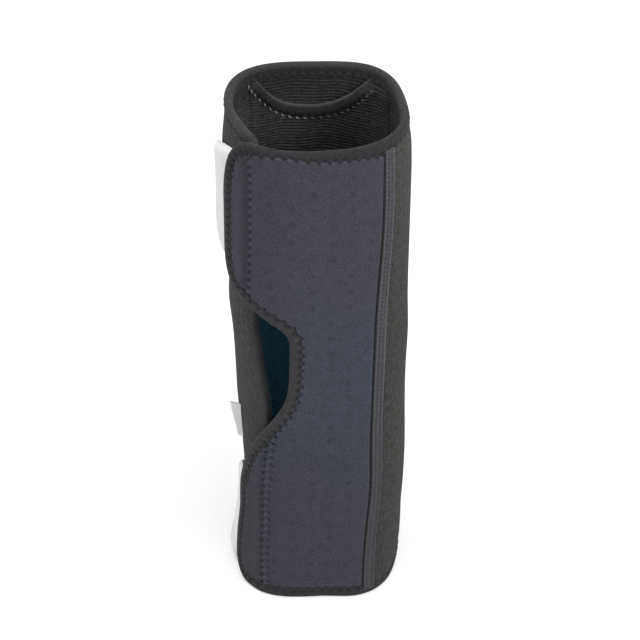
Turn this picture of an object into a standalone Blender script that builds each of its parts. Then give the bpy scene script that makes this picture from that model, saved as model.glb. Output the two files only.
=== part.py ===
"""Wrist splint: a wrap-around forearm brace closed into a tube that stands on its hand end.

Every piece lies on one wall surface. A place on it is given by
  s    metres round the wall from the middle of the back, + towards the right side,
  z    metres up from the hand end,
  out  metres outwards from the face of the base wall.
Metres, +Z up, front towards -Y, origin at the middle of the footprint.
"""
import math

import bmesh
import bpy
import numpy as np
from mathutils import Matrix, Vector

# ---------------------------------------------------------------- driving sizes
HEIGHT = 0.255

# half widths of the wall's outer face at the forearm end (top) and the hand end (bottom)
TOP_RIGHT = 0.0420
TOP_LEFT = 0.0418
TOP_FRONT = 0.0396
BOTTOM_RIGHT = 0.0412
BOTTOM_LEFT = 0.0370
BOTTOM_FRONT = 0.0377
BACK_DEPTH = 0.0437

# squareness of the four corners: 2 is an ellipse, higher is boxier
BACK_RIGHT_SQUARENESS = 2.4
BACK_LEFT_SQUARENESS = 3.1
TOP_FRONT_RIGHT_SQUARENESS = 2.3
TOP_FRONT_LEFT_SQUARENESS = 1.85
BOTTOM_FRONT_RIGHT_SQUARENESS = 2.85
BOTTOM_FRONT_LEFT_SQUARENESS = 1.95
FRONT_TWIST = 0.0145          # how far the front of the hand end is turned round to the left

# cloth
PANEL = 0.0024                # foam laminate
LINING = 0.0006
TAPE = 0.0006                 # binding tape
TAPE_LEG = 0.0050             # how far a binding reaches in from its edge
GAP = 0.0003                  # clearance between two pieces that touch
EDGE_ROOM = 0.0004            # the same inside a binding that follows a curved edge

# stations round the wall
BACK_HALF = 0.0350            # middle of the back to each back corner hinge
RIGHT_SPAN = 0.0692           # right back corner to the flap's seam
UNDERLAP_LOW = 0.0800         # left back corner to the under-lap's front edge, hand end
UNDERLAP_HIGH = 0.0705        # the same above the thumb hole
UNDERLAP_TURN = (0.100, 0.160)    # heights between which the under-lap's edge leans back
UNDERLAP_CORNER = (0.0060, 0.0060)    # run round the wall and height of a rounded corner

# front flap: lengths from its seam
FLAP_UPPER = 0.0726           # to the free edge above the thumb hole
FLAP_LOWER = 0.0683           # to the free edge below it
FLAP_NECK = 0.0378            # to the deepest place of the thumb scoop
SCOOP_HEIGHT = 0.1370         # height of that place
SCOOP_UP = 0.0330             # from there up to the scoop's half depth
SCOOP_DOWN = 0.0435           # and down to it
SCOOP_UP_SHARPNESS = 7.5
SCOOP_DOWN_SHARPNESS = 3.0
FLAP_TOP_CORNER = (0.0155, 0.0340)
FLAP_FOOT_CORNER = (0.0105, 0.0140)
FLAP_CLIMB = 0.0027           # the flap is wrapped askew: its top is this much higher at its free side
FLAP_RISE = 0.0061            # the flap's free side rides this far out, over the under-lap
RISE_START = 0.0168           # from the seam, where the flap begins to rise
RISE_END = 0.0508             # where it has risen

# seam tape
SEAM_TAPE_WIDTH = 0.0062
SEAM_TAPE_THICK = 0.0006

# stay and its pocket
STAY_WIDTH = 0.0340
STAY_THICK = 0.0015
STAY_LENGTH = 0.2100
STAY_BOTTOM = 0.0150
STAY_END_RADIUS = 0.0120
POCKET_CLOTH = 0.0008
POCKET_HALF = 0.0315
POCKET_HEM = 0.0030           # flat sewn margin at the pocket's sides and foot
POCKET_SLOPE = 0.0055         # run from the margin up to the full standoff
POCKET_BOTTOM = 0.0066
MOUTH_LOW = 0.2350            # lowest place of the crescent mouth
MOUTH_RISE = 0.0117           # how much higher its ends are
MOUTH_TAPE = 0.0050

# closing tabs
TAB_THICK = 0.0010
TAB_STANDOFF = 0.0004
TAB_LENGTH = 0.0330
UPPER_TAB_BULGE = 0.0012
LOWER_TAB_BULGE = 0.0006
TAB_TAPER = 0.96              # how far into its half ellipse the tab's outline runs
HOOK_THICK = 0.0008
HOOK_MARGIN = 0.0030
HOOK_START = 0.0125           # the hook patch begins this far past the fold
UPPER_TAB_Z = (0.1830, 0.2460)
LOWER_TAB_Z = (0.0070, 0.0690)
UPPER_TAB_ROOT = 0.0746       # from the flap's seam to the line that the tab folds on
LOWER_TAB_ROOT = 0.0698

# side label
LABEL_HEIGHT = 0.0180
LABEL_REACH = 0.0052
LABEL_THICK = 0.0012
LABEL_Z = 0.0810
LABEL_FROM_HINGE = 0.0560     # from the left back corner

# ---------------------------------------------------------------- values that follow
WALL = PANEL + GAP + LINING
TAPE_STACK = GAP + TAPE                   # how far a binding stands off the wall, each way
EDGE_Z = (TAPE_STACK, HEIGHT - TAPE_STACK)    # cloth edges inside the bindings
HALF_GAP = GAP / 2
HINGE_OUT = TAPE_STACK + GAP / 6          # hinge lines lie just outside every binding
SEAM = BACK_HALF + RIGHT_SPAN
LEFT_HINGE = -BACK_HALF
COLUMN = 0.0072                           # mesh step round the wall
RISE_COLUMN = 0.0047                      # the same where the flap rises
ROW = 0.0260                              # mesh step up a straight wall
FLAP_ROWS = 50                            # mesh rows along the flap's free edge
UNDERLAP_ROWS = 24                        # and along the under-lap's

CHARCOAL = (0.070, 0.070, 0.071)
BLUE_GREY = (0.060, 0.064, 0.090)
LINING_BLACK = (0.016, 0.017, 0.017)
BINDING_BLACK = (0.030, 0.030, 0.032)
TAPE_GREY = (0.077, 0.077, 0.084)
WHITE = (0.780, 0.780, 0.760)
METAL = (0.620, 0.630, 0.640)


# ---------------------------------------------------------------- the wall surface
def smooth(a, b, x):
    """0 below a, 1 above b, with level ends."""
    t = np.clip((np.asarray(x, float) - a) / (b - a), 0.0, 1.0)
    return t * t * (3.0 - 2.0 * t)


def section(right, left, back, front, squareness, steps=160):
    """A closed section of four superellipse quarters, from the middle of the back to the right.

    Gives its points, outward normals and the running share of its girth.
    """
    turn = np.linspace(0.0, math.pi / 2, steps)
    quarters = ((right, back, 1, 1), (right, front, 1, -1), (left, front, -1, -1), (left, back, -1, 1))
    points = []
    for (wide, deep, sx, sy), n in zip(quarters, squareness):
        x = sx * wide * np.sin(turn) ** (2 / n)
        y = sy * deep * np.cos(turn) ** (2 / n)
        quarter = np.stack([x, y], 1)
        if sx * sy < 0:
            quarter = quarter[::-1]
        points.append(quarter[:-1])
    points = np.concatenate(points + [[[0.0, back]]])
    run = np.concatenate([[0.0], np.cumsum(np.linalg.norm(np.diff(points, axis=0), axis=1))])
    along = np.gradient(points, run, axis=0)
    normal = np.stack([-along[:, 1], along[:, 0]], 1)
    return points, normal, run / run[-1], run[-1]


TOP = section(
    TOP_RIGHT, TOP_LEFT, BACK_DEPTH, TOP_FRONT,
    (BACK_RIGHT_SQUARENESS, TOP_FRONT_RIGHT_SQUARENESS, TOP_FRONT_LEFT_SQUARENESS, BACK_LEFT_SQUARENESS),
)
BOTTOM = section(
    BOTTOM_RIGHT, BOTTOM_LEFT, BACK_DEPTH, BOTTOM_FRONT,
    (BACK_RIGHT_SQUARENESS, BOTTOM_FRONT_RIGHT_SQUARENESS, BOTTOM_FRONT_LEFT_SQUARENESS,
     BACK_LEFT_SQUARENESS),
)
GIRTH = TOP[3]


def on_section(table, share, out):
    points, normal, shares, _ = table
    share = np.mod(share, 1.0)
    at = np.stack([np.interp(share, shares, points[:, k]) for k in (0, 1)], -1)
    way = np.stack([np.interp(share, shares, normal[:, k]) for k in (0, 1)], -1)
    way /= np.linalg.norm(way, axis=-1, keepdims=True)
    return at + way * out[..., None]


def wall(s, z, out):
    """The place at s round, z up and out from the wall: straight lines join the two end sections."""
    s, z, out = np.broadcast_arrays(*(np.asarray(v, float) for v in (s, z, out)))
    share = s / GIRTH
    top = on_section(TOP, share, out)
    bottom = on_section(BOTTOM, share + FRONT_TWIST / GIRTH * np.sin(math.pi * share) ** 2, out)
    rise = (z / HEIGHT)[..., None]
    return np.concatenate([bottom + (top - bottom) * rise, z[..., None]], -1)


# ---------------------------------------------------------------- outlines
def corner_cut(z, foot, top):
    """How far elliptical corners of the given (run, height) pull an edge back at height z."""
    past_foot = np.clip((EDGE_Z[0] + foot[1] - z) / foot[1], 0.0, 1.0)
    past_top = np.clip((z - EDGE_Z[1] + top[1]) / top[1], 0.0, 1.0)
    return foot[0] * (1 - np.sqrt(1 - past_foot ** 2)) + top[0] * (1 - np.sqrt(1 - past_top ** 2))


def flap_edge(z):
    """The flap's free edge: a straight edge with a D-shaped scoop for the thumb."""
    upper = z > SCOOP_HEIGHT
    straight = np.where(upper, FLAP_UPPER, FLAP_LOWER)
    reach = np.abs(z - SCOOP_HEIGHT) / np.where(upper, SCOOP_UP, SCOOP_DOWN)
    power = reach ** np.where(upper, SCOOP_UP_SHARPNESS, SCOOP_DOWN_SHARPNESS)
    scooped = FLAP_NECK + (straight - FLAP_NECK) * power / (1 + power)
    return SEAM + scooped - corner_cut(z, FLAP_FOOT_CORNER, FLAP_TOP_CORNER)


def underlap_edge(z):
    """The under-lap's front edge, which leans back above the thumb hole."""
    length = UNDERLAP_LOW + (UNDERLAP_HIGH - UNDERLAP_LOW) * smooth(*UNDERLAP_TURN, z)
    return LEFT_HINGE - length + corner_cut(z, UNDERLAP_CORNER, UNDERLAP_CORNER)


def flap_rise(s):
    """Flat at the seam, then straight across and quickly level where the under-lap carries the flap."""
    t = np.clip((s - SEAM - RISE_START) / (RISE_END - RISE_START), 0.0, 1.0)
    return FLAP_RISE * t ** 2.5 * (3.5 - 2.5 * t)


def flap_climb(s, z):
    return FLAP_CLIMB * smooth(SEAM + RISE_START, SEAM + RISE_END, s) * z / HEIGHT


def no_climb(s, z):
    return np.zeros_like(z)


def straight_rows():
    return np.linspace(*EDGE_Z, round((EDGE_Z[1] - EDGE_Z[0]) / ROW) + 1)


def edge_rows(edge, count):
    """Heights along an edge, closest where it turns or runs round the wall."""
    z = np.linspace(*EDGE_Z, 1500)
    ds, dz = np.diff(edge(z)), np.diff(z)
    turn = np.abs(np.gradient(np.arctan2(dz, ds)))
    measure = np.concatenate([[0.0], np.cumsum(np.abs(ds) + 0.3 * dz + 0.008 * turn)])
    return np.interp(np.linspace(0, measure[-1], count), measure, z)


def columns(start, end):
    return np.linspace(start, end, max(2, round(abs(end - start) / COLUMN) + 1))


# ---------------------------------------------------------------- mesh makers
def add_piece(name, points, faces, material):
    mesh = bpy.data.meshes.new(name)
    mesh.from_pydata(points.reshape(-1, 3).tolist(), [], faces)
    bm = bmesh.new()
    bm.from_mesh(mesh)
    bmesh.ops.recalc_face_normals(bm, faces=bm.faces)
    bm.to_mesh(mesh)
    bm.free()
    mesh.shade_smooth()
    mesh.set_sharp_from_angle(angle=math.radians(40))
    mesh.materials.append(material)
    piece = bpy.data.objects.new(name, mesh)
    COLLECTION.objects.link(piece)
    return piece


def quads(rows, cols, start=0):
    grid = np.arange(rows * cols).reshape(rows, cols) + start
    return np.stack([grid[:-1, :-1], grid[:-1, 1:], grid[1:, 1:], grid[1:, :-1]], -1).reshape(-1, 4)


def sheet(name, s, z, outer, inner, material):
    """A cloth sheet: two skins of the wall over the same grid, joined round their border."""
    s, z, outer, inner = np.broadcast_arrays(s, z, outer, inner)
    rows, cols = s.shape
    size = rows * cols
    faces = [quads(rows, cols), quads(rows, cols, size)[:, ::-1]]
    grid = np.arange(size).reshape(rows, cols)
    border = np.concatenate([grid[0], grid[1:, -1], grid[-1, -2::-1], grid[-2:0:-1, 0]])
    after = np.roll(border, -1)
    faces.append(np.stack([border, border + size, after + size, after], 1))
    points = np.stack([wall(s, z, outer), wall(s, z, inner)])
    return add_piece(name, points, np.concatenate(faces).tolist(), material)


def loft(name, rings, caps, material):
    """Closed rings joined one to the next, shut at both ends by the listed quads."""
    count, size = rings.shape[:2]
    grid = np.arange(count * size).reshape(count, size)
    after = np.roll(grid, -1, axis=1)
    sides = np.stack([grid[:-1], after[:-1], after[1:], grid[1:]], -1).reshape(-1, 4)
    ends = [tuple(grid[0][list(c)]) for c in caps] + [tuple(grid[-1][list(c)][::-1]) for c in caps]
    faces = sides.tolist() + [[int(v) for v in face] for face in ends]
    return add_piece(name, rings, faces, material)


def binding(name, s, z, away, base, material, room=GAP, climb=no_climb):
    """Tape folded over a cloth edge: a U section carried along the edge.

    away is the way out of the cloth in (s, z), base how far out the wall rides there.
    """
    leg = TAPE_LEG
    lip, under, middle = TAPE_STACK, -WALL - TAPE_STACK, -leg / 2
    inside = -WALL - room
    profile = (
        (-leg, lip), (middle, lip), (lip, lip), (lip, under), (middle, under), (-leg, under),
        (-leg, inside), (middle, inside), (room, inside), (room, room), (middle, room), (-leg, room),
    )
    past = np.array([p[0] for p in profile])
    level = np.array([p[1] for p in profile])
    around = s[:, None] + away[:, :1] * past
    up = z[:, None] + away[:, 1:] * past
    rings = wall(around, up + climb(around, up), base(around) + level)
    caps = ((0, 1, 10, 11), (1, 2, 9, 10), (2, 3, 8, 9), (3, 4, 7, 8), (4, 5, 6, 7))
    return loft(name, rings, caps, material)


def edge_way(s, z, sign):
    """Unit vectors square to a path in (s, z), on its free side."""
    ds, dz = np.gradient(s), np.gradient(z)
    way = sign * np.stack([dz, -ds], 1)
    way /= np.linalg.norm(way, axis=1, keepdims=True)
    way[0], way[-1] = (0.0, -1.0), (0.0, 1.0)
    return way


def level_way(s, up):
    return np.tile((0.0, 1.0 if up else -1.0), (len(s), 1))


def flat(s):
    return np.zeros_like(s)


# ---------------------------------------------------------------- scene set-up
def clear_scene():
    for old in list(bpy.data.objects):
        bpy.data.objects.remove(old, do_unlink=True)


def finish(name, colour, roughness, metallic=0.0):
    material = bpy.data.materials.new(name)
    material.use_nodes = True
    shader = material.node_tree.nodes["Principled BSDF"]
    shader.inputs["Base Color"].default_value = (*colour, 1.0)
    shader.inputs["Roughness"].default_value = roughness
    shader.inputs["Metallic"].default_value = metallic
    return material


def straight_bindings(side, stations):
    for end, z in zip(("bottom", "top"), EDGE_Z):
        binding(f"{side}_{end}_binding", stations, np.full_like(stations, z),
                level_way(stations, end == "top"), flat,
                finish(f"{side}_{end}_tape", BINDING_BLACK, 0.85))


# ---------------------------------------------------------------- the pieces
def make_back():
    s = columns(-BACK_HALF + HALF_GAP, BACK_HALF - HALF_GAP)
    z = straight_rows()[:, None]
    sheet("back_panel", s[None], z, 0.0, -PANEL, finish("back_cloth", CHARCOAL, 0.9))
    sheet("back_lining", s[None], z, -PANEL - GAP, -WALL, finish("back_knit", LINING_BLACK, 0.9))
    straight_bindings("back", s)


def mouth_edge(s):
    return MOUTH_LOW + MOUTH_RISE * (np.abs(s) / POCKET_HALF) ** 2.2


def pocket_standoff(s, z):
    """How far the pocket stands off the lining: full over the stay, flat at its sewn margins."""
    room = TAPE_STACK + GAP + STAY_THICK
    side = 1 - smooth(POCKET_HALF - POCKET_HEM - POCKET_SLOPE, POCKET_HALF - POCKET_HEM, np.abs(s))
    foot = smooth(POCKET_BOTTOM + POCKET_HEM, POCKET_BOTTOM + POCKET_HEM + POCKET_SLOPE, z)
    return GAP + room * side * foot


def make_pocket():
    s = np.linspace(-POCKET_HALF, POCKET_HALF, 19)[None]
    share = np.array([0, 0.013, 0.026, 0.039, 0.052, 0.15, 0.3, 0.45, 0.6, 0.75, 0.9, 0.95, 1.0])[:, None]
    z = POCKET_BOTTOM + (mouth_edge(s) - POCKET_BOTTOM) * share
    face = -WALL - pocket_standoff(s, z)
    sheet("pocket_panel", s, z, face, face - POCKET_CLOTH, finish("pocket_cloth", LINING_BLACK, 0.9))
    step = np.array([-MOUTH_TAPE, -MOUTH_TAPE / 2, 0.0])[:, None]
    z = mouth_edge(s) + step
    face = -WALL - pocket_standoff(s, z) - POCKET_CLOTH - GAP
    sheet("pocket_mouth_tape", s, z, face, face - TAPE, finish("mouth_tape", BINDING_BLACK, 0.85))


def make_stay():
    """A plate with the curve of the back wall at mid height, straight up and down, with round ends."""
    half = STAY_WIDTH / 2
    s = np.linspace(-half, half, 15)
    inset = STAY_END_RADIUS - np.sqrt(
        np.maximum(STAY_END_RADIUS ** 2 - np.maximum(np.abs(s) - half + STAY_END_RADIUS, 0) ** 2, 0))
    z = np.stack([STAY_BOTTOM + inset, STAY_BOTTOM + STAY_LENGTH - inset])
    face = -WALL - TAPE_STACK - GAP
    rings = []
    for out in (face, face - STAY_THICK):
        skin = wall(s, HEIGHT / 2, out)
        rings.append(np.stack([np.concatenate([skin[:, :2], z[k][:, None]], 1) for k in (0, 1)]))
    outline = [np.concatenate([skin[0], skin[1][::-1]]) for skin in rings]
    caps = [(k, k + 1, 28 - k, 29 - k) for k in range(14)]
    loft("splint_stay", np.stack(outline), caps, finish("stay_metal", METAL, 0.4, 1.0))


def make_right_side():
    s = columns(BACK_HALF + HALF_GAP, SEAM - HALF_GAP)
    z = straight_rows()[:, None]
    sheet("right_panel", s[None], z, 0.0, -PANEL, finish("right_cloth", CHARCOAL, 0.9))
    sheet("right_lining", s[None], z, -PANEL - GAP, -WALL, finish("right_knit", LINING_BLACK, 0.9))
    straight_bindings("right", s)
    reach = TAPE_LEG + GAP
    z = np.linspace(EDGE_Z[0] + reach, EDGE_Z[1] - reach, len(straight_rows()))[:, None]
    s = np.linspace(SEAM - HALF_GAP - SEAM_TAPE_WIDTH, SEAM - HALF_GAP, 4)[None]
    sheet("seam_tape", s, z, GAP + SEAM_TAPE_THICK, GAP, finish("seam_tape_cloth", TAPE_GREY, 0.85))


def lap(rows, start, edge, step):
    """Grid of a cloth that runs from a straight start to a shaped edge."""
    count = round(abs(float(np.mean(edge(rows))) - start) / step) + 1
    share = np.linspace(0.0, 1.0, count)
    z = rows[:, None] + 0 * share
    return start + (edge(rows)[:, None] - start) * share, z


def make_left_side():
    rows = edge_rows(underlap_edge, UNDERLAP_ROWS)
    s, z = lap(rows, LEFT_HINGE - HALF_GAP, underlap_edge, COLUMN)
    sheet("left_panel", s, z, 0.0, -PANEL, finish("left_cloth", CHARCOAL, 0.9))
    sheet("left_lining", s, z, -PANEL - GAP, -WALL, finish("left_knit", LINING_BLACK, 0.9))
    for end, row in (("bottom", 0), ("top", -1)):
        line = s[row].copy()
        line[-1] += HALF_GAP
        binding(f"left_{end}_binding", line, z[row], level_way(line, end == "top"), flat,
                finish(f"left_{end}_tape", BINDING_BLACK, 0.85))
    line = s[:, -1].copy()
    line[[0, -1]] -= HALF_GAP
    binding("left_front_binding", line, rows, edge_way(line, rows, -1), flat,
            finish("left_front_tape", BINDING_BLACK, 0.85), EDGE_ROOM)
    make_label()


def make_label():
    """A folded ribbon that stands out from the left side."""
    place = LEFT_HINGE - LABEL_FROM_HINGE
    z = np.array([LABEL_Z, LABEL_Z + LABEL_HEIGHT])
    thick = LABEL_THICK / 2
    profile = [(-thick, GAP), (-thick, LABEL_REACH * 0.9), (-thick / 2, LABEL_REACH),
               (thick / 2, LABEL_REACH), (thick, LABEL_REACH * 0.9), (thick, GAP)]
    around = np.array([p[0] for p in profile])
    level = np.array([p[1] for p in profile])
    rings = wall(place + around[None], z[:, None], level[None])
    loft("side_label", rings, ((0, 1, 4, 5), (1, 2, 3, 4)), finish("label_cloth", WHITE, 0.7))


def make_flap():
    rows = edge_rows(flap_edge, FLAP_ROWS)
    s, z = lap(rows, SEAM + HALF_GAP, flap_edge, RISE_COLUMN)
    rise = flap_rise(s)
    height = z + flap_climb(s, z)
    sheet("front_panel", s, height, rise, rise - PANEL, finish("front_cloth", BLUE_GREY, 0.85))
    sheet("front_lining", s, height, rise - PANEL - GAP, rise - WALL, finish("front_knit", LINING_BLACK, 0.9))
    for end, row in (("bottom", 0), ("top", -1)):
        line = s[row].copy()
        line[-1] -= HALF_GAP
        binding(f"flap_{end}_binding", line, z[row], level_way(line, end == "top"), flap_rise,
                finish(f"flap_{end}_tape", BINDING_BLACK, 0.85), GAP, flap_climb)
    line = s[:, -1].copy()
    line[[0, -1]] += HALF_GAP
    binding("flap_edge_binding", line, rows, edge_way(line, rows, 1), flap_rise,
            finish("flap_edge_tape", BINDING_BLACK, 0.85), EDGE_ROOM, flap_climb)


def make_tab(name, root, bulge, span):
    """A closing tab: a root sewn under the flap, the tab that folds on it and its hook patch.

    The root lies between the flap and the under-lap, from the under-lap's binding to the fold.
    """
    low, high = span
    line = SEAM + root
    z = np.linspace(low, high, 4)[:, None]
    start = GIRTH + float(np.max(underlap_edge(z))) + TAPE_LEG + GAP
    s = np.linspace(start, line - HALF_GAP, 3)[None]
    face = TAB_STANDOFF
    sheet(f"{name}_root", s, z, face + TAB_THICK, face, finish(f"{name}_root_cloth", WHITE, 0.6))

    middle, half = (low + high) / 2, (high - low) / 2
    up = np.linspace(-1.0, 1.0, 7)[:, None]
    s = (line + HALF_GAP + (TAB_LENGTH - HALF_GAP) * np.linspace(0.0, 1.0, 13))[None]
    z = middle + up * half * tongue(s - line)
    level = tab_level(s - line, bulge)
    sheet(name, s, z, level + TAB_THICK, level, finish(f"{name}_cloth", WHITE, 0.6))

    s = np.linspace(line + HOOK_START, line + TAB_LENGTH - HOOK_MARGIN, 8)[None]
    z = middle + up * (half * tongue(s - line) - HOOK_MARGIN)
    level = tab_level(s - line, bulge) - GAP
    sheet(f"{name}_hook", s, z, level, level - HOOK_THICK, finish(f"{name}_hook_cloth", WHITE, 0.8))


def tongue(past):
    """The share of a tab's full width that is left at a distance past its fold line."""
    return np.sqrt(1.0 - (TAB_TAPER * past / TAB_LENGTH) ** 2)


def tab_level(past, most):
    """Height of a tab's inner face off the wall: it lifts for the hook patch and bulges midway."""
    share = past / TAB_LENGTH
    lift = (HOOK_THICK + GAP) * smooth(0.0, 0.3, share)
    bulge = most * np.sin(math.pi * np.clip(share / 0.9, 0.0, 1.0)) ** 2
    return TAB_STANDOFF + lift + bulge


# ---------------------------------------------------------------- bodies and hinges
def hinge_point(s, level):
    return Vector(wall(s, 0.0, level).tolist())


def bodies():
    """Each moving body: a point on its axis and the pieces it carries."""
    flap_parts = ["front_panel", "front_lining", "flap_top_binding", "flap_edge_binding",
                  "flap_bottom_binding", "upper_tab_root", "lower_tab_root"]
    left_parts = ["left_panel", "left_lining", "left_top_binding", "left_front_binding",
                  "left_bottom_binding", "side_label"]
    right_parts = ["right_panel", "right_lining", "right_top_binding", "right_bottom_binding", "seam_tape"]
    tab_out = TAB_STANDOFF + TAB_THICK
    return {
        "right_side": (hinge_point(BACK_HALF, HINGE_OUT), right_parts),
        "left_side": (hinge_point(LEFT_HINGE, HINGE_OUT), left_parts),
        "front_flap": (hinge_point(SEAM, HINGE_OUT), flap_parts),
        "upper_closure": (hinge_point(SEAM + UPPER_TAB_ROOT, tab_out), ["upper_tab", "upper_tab_hook"]),
        "lower_closure": (hinge_point(SEAM + LOWER_TAB_ROOT, tab_out), ["lower_tab", "lower_tab_hook"]),
    }


def centre_on_footprint():
    """Moves every mesh so that the origin is the middle of the footprint."""
    corners = np.concatenate([
        np.array([v.co for v in piece.data.vertices]) for piece in COLLECTION.objects])
    middle = (corners.min(0) + corners.max(0)) / 2
    shift = Matrix.Translation((-middle[0], -middle[1], 0.0))
    for piece in COLLECTION.objects:
        piece.data.transform(shift)
    return shift


def hang_on_hinges(shift):
    for name, (point, parts) in bodies().items():
        axis = bpy.data.objects.new(f"{name}_axis", None)
        axis.location = shift @ point
        axis.empty_display_size = 0.02
        COLLECTION.objects.link(axis)
        for part in parts:
            piece = COLLECTION.objects[part]
            piece.parent = axis
            piece.matrix_parent_inverse = Matrix.Translation(-axis.location)


clear_scene()
COLLECTION = bpy.data.collections.new("wrist_splint")
bpy.context.scene.collection.children.link(COLLECTION)
make_back()
make_pocket()
make_stay()
make_right_side()
make_left_side()
make_flap()
make_tab("upper_tab", UPPER_TAB_ROOT, UPPER_TAB_BULGE, UPPER_TAB_Z)
make_tab("lower_tab", LOWER_TAB_ROOT, LOWER_TAB_BULGE, LOWER_TAB_Z)
SHIFT = centre_on_footprint()
hang_on_hinges(SHIFT)
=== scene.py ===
"""Looks of the wrist splint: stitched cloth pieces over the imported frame.

Every piece lies on one wall surface, as in the frame. A place on it is given by
  s    metres round the wall from the middle of the back, + towards the right side,
  z    metres up from the hand end,
  out  metres outwards from the face of the base wall.
"""

import math

import bmesh
import bpy
import numpy as np
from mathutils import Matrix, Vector


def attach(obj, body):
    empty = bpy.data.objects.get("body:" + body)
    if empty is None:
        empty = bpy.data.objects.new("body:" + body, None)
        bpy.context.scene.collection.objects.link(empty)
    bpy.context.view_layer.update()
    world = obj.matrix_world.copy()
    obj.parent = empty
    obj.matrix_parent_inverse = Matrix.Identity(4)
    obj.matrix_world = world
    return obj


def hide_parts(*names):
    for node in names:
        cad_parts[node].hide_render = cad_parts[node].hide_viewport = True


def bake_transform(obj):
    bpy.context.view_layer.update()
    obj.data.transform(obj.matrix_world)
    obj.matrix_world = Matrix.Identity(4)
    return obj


MM = 0.001

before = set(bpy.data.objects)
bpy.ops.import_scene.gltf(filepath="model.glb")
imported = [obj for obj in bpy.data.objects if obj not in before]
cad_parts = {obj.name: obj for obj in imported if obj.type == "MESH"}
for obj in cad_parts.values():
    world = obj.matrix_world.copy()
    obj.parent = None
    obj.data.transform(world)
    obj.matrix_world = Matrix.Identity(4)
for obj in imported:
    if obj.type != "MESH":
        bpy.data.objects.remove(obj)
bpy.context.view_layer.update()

# ------------------------ sizes of the frame
HEIGHT = 0.255
# half widths and depths of the two ends, and how square their corners are, from the back's right on
TOP_END = {"right": 0.0420, "left": 0.0418, "back": 0.0437, "front": 0.0396,
           "squareness": (2.4, 2.3, 1.85, 3.1)}
BOTTOM_END = {"right": 0.0412, "left": 0.0370, "back": 0.0437, "front": 0.0377,
              "squareness": (2.4, 2.85, 1.95, 3.1)}
FRONT_TWIST = 0.0145
CENTRING = (0.0010533, -0.0006201, 0.0)    # moves the sections' middle to the footprint's middle

PANEL = 0.0024
LINING = 0.0006
GAP = 0.0003
WALL = PANEL + GAP + LINING
TAPE_STACK = 0.0009                        # how far a binding stands off the wall, each way
EDGE_Z = (TAPE_STACK, HEIGHT - TAPE_STACK)
BACK_HALF = 0.0350
SEAM = BACK_HALF + 0.0692
SEAM_SLIT = 0.15 * MM                      # half the slit between the cloths that meet there
LEFT_HINGE = -BACK_HALF
UNDERLAP_LOW = 0.0800
UNDERLAP_HIGH = 0.0705
UNDERLAP_TURN = (0.100, 0.160)
UNDERLAP_CORNER = (0.0060, 0.0060)
FLAP_UPPER = 0.0726
FLAP_LOWER = 0.0683
FLAP_NECK = 0.0378
SCOOP_HEIGHT = 0.1370
SCOOP_UP = 0.0330
SCOOP_DOWN = 0.0435
SCOOP_UP_SHARPNESS = 7.5
SCOOP_DOWN_SHARPNESS = 3.0
FLAP_TOP_CORNER = (0.0155, 0.0340)
FLAP_FOOT_CORNER = (0.0105, 0.0140)
FLAP_CLIMB = 0.0027
FLAP_RISE = 0.0061
RISE_START = 0.0168
RISE_END = 0.0508
STAY_THICK = 0.0015
POCKET_CLOTH = 0.0008
POCKET_HALF = 0.0315
POCKET_HEM = 0.0030
POCKET_SLOPE = 0.0055
POCKET_BOTTOM = 0.0066
POCKET_SEWN = (0.0362, 0.0430)             # its cloth runs on to its side seams, left and right
POCKET_PRESSED = (0.2450, 0.2505)          # heights over which the top binding presses it flat
MOUTH_LOW = 0.2350
MOUTH_MIDDLE = -3.5 * MM
MOUTH_CURVE = ((19.0, 2.58), (15.5, 2.1))  # (rise in mm, power) on its left and its right
MOUTH_LAP = 0.35 * MM                      # how far the mouth's tape stands past the cloth's edge
TAB_THICK = 0.0010
TAB_STANDOFF = 0.0004
TAB_LENGTH = 0.0330
TAB_TAPER = 0.96
HOOK_THICK = 0.0008
HOOK_MARGIN = 0.0030
HOOK_START = 0.0125
HOOK_PITCH = 1.35 * MM
HOOK_BEND = ((0.0, 0.0), (0.03 * MM, 0.34 * MM), (0.12 * MM, 0.50 * MM), (0.34 * MM, 0.38 * MM))
TAB_DROOP = 1.20 * MM
# where each tab leaves the flap, its foot and top, how far it bulges, and (height, middle, spread)
# of the part that stands off further
TABS = {
    "upper": {"root": 0.0746, "span": (0.1830, 0.2434), "bulge": 0.0012,
              "swell": (0.0017, 0.200, 0.016)},
    "lower": {"root": 0.0698, "span": (0.0028, 0.0612), "bulge": 0.0004,
              "swell": (0.0042, 0.004, 0.030)},
}
LABEL_HEIGHT = 0.0180
LABEL_REACH = 0.0052
LABEL_SPAN = (0.0810 - 2.0 * MM, 0.0810 + LABEL_HEIGHT)
LABEL_FROM_HINGE = 0.0560
LABEL_CUT = 0.0118
LABEL_SWEEP = 0.75                         # how far it leans back for each step outwards

# ------------------------ how the worn cloth gives
# Each row is a smooth bump: its height in mm, its middle and its width, in s or z.
TOP_DRAWN = ((1.7, 0.024, 0.014), (-2.0, 0.056, 0.018), (-1.0, 0.085, 0.025), (-3.6, -0.083, 0.017),
             (-0.5, -0.058, 0.014))
FOOT_TUCKED = ((1.2, 0.106, 0.010), (-1.9, 0.079, 0.014))
RIGHT_SWELL = ((0.55, 0.141, 0.014), (0.9, 0.072, 0.026), (-0.45, 0.038, 0.010))
SEAM_WANDER = ((1.30, 0.212, 0.030), (1.60, 0.068, 0.026), (0.35, 0.112, 0.022))
FLAP_LIFT = ((0.8, 0.178, 0.024), (0.7, 0.250, 0.014), (-1.2, 0.046, 0.014))

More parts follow.
